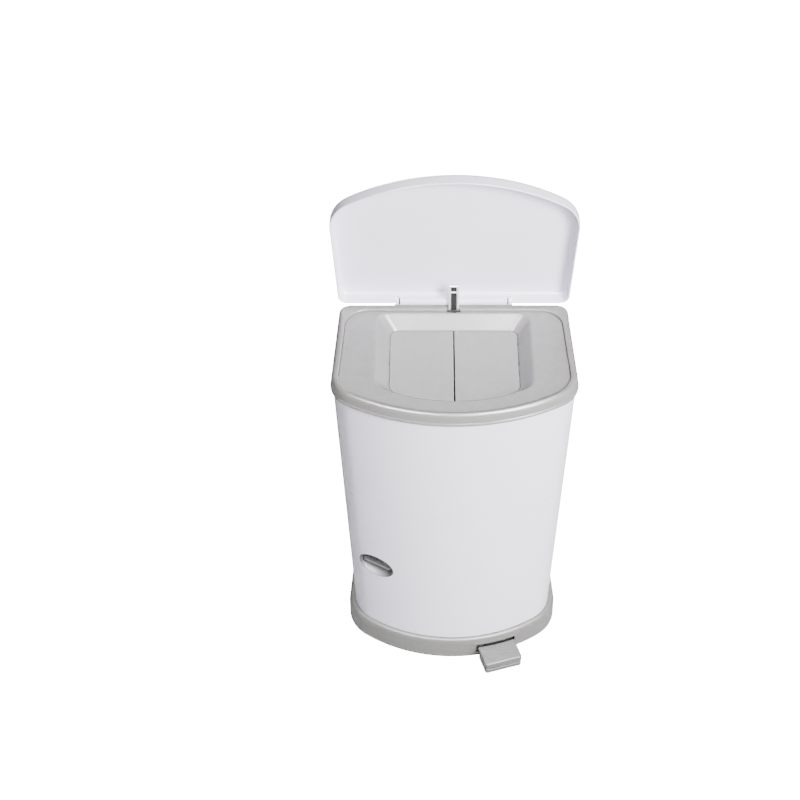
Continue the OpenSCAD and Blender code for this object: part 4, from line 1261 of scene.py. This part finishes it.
# %% Pedal lower plate and gasket, the gasket black as painted shade
lower = block("pedal_lip", (-PEDAL_HALF + 0.4 * MM, TREAD_FRONT + 0.4 * MM, 3.5 * MM - PIVOT.z),
              (PEDAL_HALF - 0.4 * MM, -FACE - 3 * MM, 11.9 * MM - PIVOT.z))
round_front(lower, -FACE, 4 * MM, 8)
soften(lower, 0.9 * MM, segments=3)
at_pedal(lower)
put(lower, "pedal", "base_grey", tread_grey, "pedal_plate")
# painted shade: the black gasket stands in for the shadow in the seam between tread and plate
painted_shade_gasket = block("pedal_painted_shade_gasket", (-PEDAL_HALF + 1.1 * MM, TREAD_FRONT + 1.1 * MM, 11.7 * MM - PIVOT.z),
               (PEDAL_HALF - 1.1 * MM, -FACE + 8 * MM, 14.7 * MM - PIVOT.z))
round_front(painted_shade_gasket, -FACE, 3.5 * MM, 8)
soften(painted_shade_gasket, 0.2 * MM)
put(at_pedal(painted_shade_gasket), "pedal", "rubber", rubber_and_painted_shade)
print("pedal, mm:", round(2 * PEDAL_HALF / MM), "wide, with", len(groove_rows), "grooves")

# %% [markdown]
# ## Finishes for the CAD nodes that show as they are
# Pins, screws, springs, the chute and the cassette are right as they come. They are small or hidden, so
# they only need their material, which goes in the place of the plain CAD one.

# %% Finishes on CAD nodes
KEPT = {
    base_grey: ["base_cover"],
    rubber_and_painted_shade: ["foot_band"],
    bare_steel: ["base_screws", "pedal_pin", "pedal_lever", "lift_rod", "door_hinge_pins", "flap_pins",
                 "flap_springs", "cutter_blade", "lid_hinge_pins", "hinge_screws"],
    inner_white: ["chute", "liner_shelf"],
    cassette_blue: ["cassette_tray", "cassette_cover"],
    liner_film: ["cassette_film"],
}
for material, names in KEPT.items():
    for name in names:
        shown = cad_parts[name]
        shown.data.materials.clear()
        shown.data.materials.append(material)
print("CAD nodes shown as they are:", sum(len(names) for names in KEPT.values()))

# %% [markdown]
# ## The floor
# The bin stands on a clear white floor, which also sends a little light back up at it. A floor bright
# enough to look white would flood the walls from below. So it only shines for the camera: for every
# other ray it is a plain pale grey.

# %% Floor
CLEAR_WHITE = 20.0


def for_camera(tree, others, camera, output):
    """Shows one shader to the camera and another to every other ray."""
    ray = node(tree, "ShaderNodeLightPath")
    choice = node(tree, "ShaderNodeMixShader",
                  {"Fac": ray.outputs["Is Camera Ray"], 1: others, 2: camera})
    tree.links.new(choice.outputs[0], tree.nodes[output].inputs["Surface"])


deselect()
bpy.ops.mesh.primitive_plane_add(size=14, location=(0, 0, 0))
floor = bpy.context.object
floor.name = "floor"
floor_material = bpy.data.materials.new("pale_floor")
floor_material.use_nodes = True
tree = floor_material.node_tree
shader = tree.nodes["Principled BSDF"]
shader.inputs["Base Color"].default_value = (0.4, 0.4, 0.4, 1)
shader.inputs["Roughness"].default_value = 0.9
shader.inputs["Specular IOR Level"].default_value = 0.1
glow = node(tree, "ShaderNodeEmission", {"Color": (1, 1, 1, 1), "Strength": CLEAR_WHITE})
lit = node(tree, "ShaderNodeAddShader", {0: shader.outputs[0], 1: glow.outputs[0]})
for_camera(tree, shader.outputs[0], lit.outputs[0], "Material Output")
floor.data.materials.append(floor_material)

# %% [markdown]
# ## The light
# A large soft lamp stands high on the right and in front. A weaker one lower down on the right lights
# the standing walls, one straight ahead brings out the back of the hopper, and one behind keeps the back
# from going dark. Two more only show in gloss, like the reflectors of a studio: they draw the bright
# lines along the rolled rim and the hopper's corners. An even white room would be simpler, but it would
# flatten everything, so the room is dim for all but the camera and slopes keep their contrast.

# %% Light
world = bpy.data.worlds.new("white_room")
bpy.context.scene.world = world
world.use_nodes = True
tree = world.node_tree
room = tree.nodes["Background"]
room.inputs["Color"].default_value = (0.97, 0.98, 1.0, 1)
room.inputs["Strength"].default_value = 0.25
bright = node(tree, "ShaderNodeBackground", {"Color": (1, 1, 1, 1), "Strength": CLEAR_WHITE})
for_camera(tree, room.outputs[0], bright.outputs[0], "World Output")


def soft_lamp(name, place, aim, size, watts):
    data = bpy.data.lights.new(name, "AREA")
    data.shape = "DISK"
    data.size = size
    data.energy = watts
    lamp = bpy.data.objects.new(name, data)
    lamp.location = place
    lamp.rotation_euler = (Vector(place) - Vector(aim)).to_track_quat("Z", "Y").to_euler()
    bpy.context.scene.collection.objects.link(lamp)
    return lamp


MIDDLE = (0, 0, 0.45)
soft_lamp("key_lamp", (1.4, -1.75, 2.3), MIDDLE, 0.9, 252)
soft_lamp("back_lamp", (-0.4, 2.3, 1.0), MIDDLE, 0.9, 50)
soft_lamp("low_lamp", (1.9, -2.1, 1.3), MIDDLE, 0.8, 56)
soft_lamp("front_lamp", (0.3, -2.3, 2.3), MIDDLE, 0.8, 60)
SHEENS = [("left_sheen", (-0.76, -0.97, 2.32), 260), ("right_sheen", (0.76, -0.97, 2.32), 360)]
for name, place, watts in SHEENS:
    sheen = soft_lamp(name, place, (0, 0, 0.5), 1.1, watts)
    sheen.visible_diffuse = False
print("lamps:", 4 + len(SHEENS))
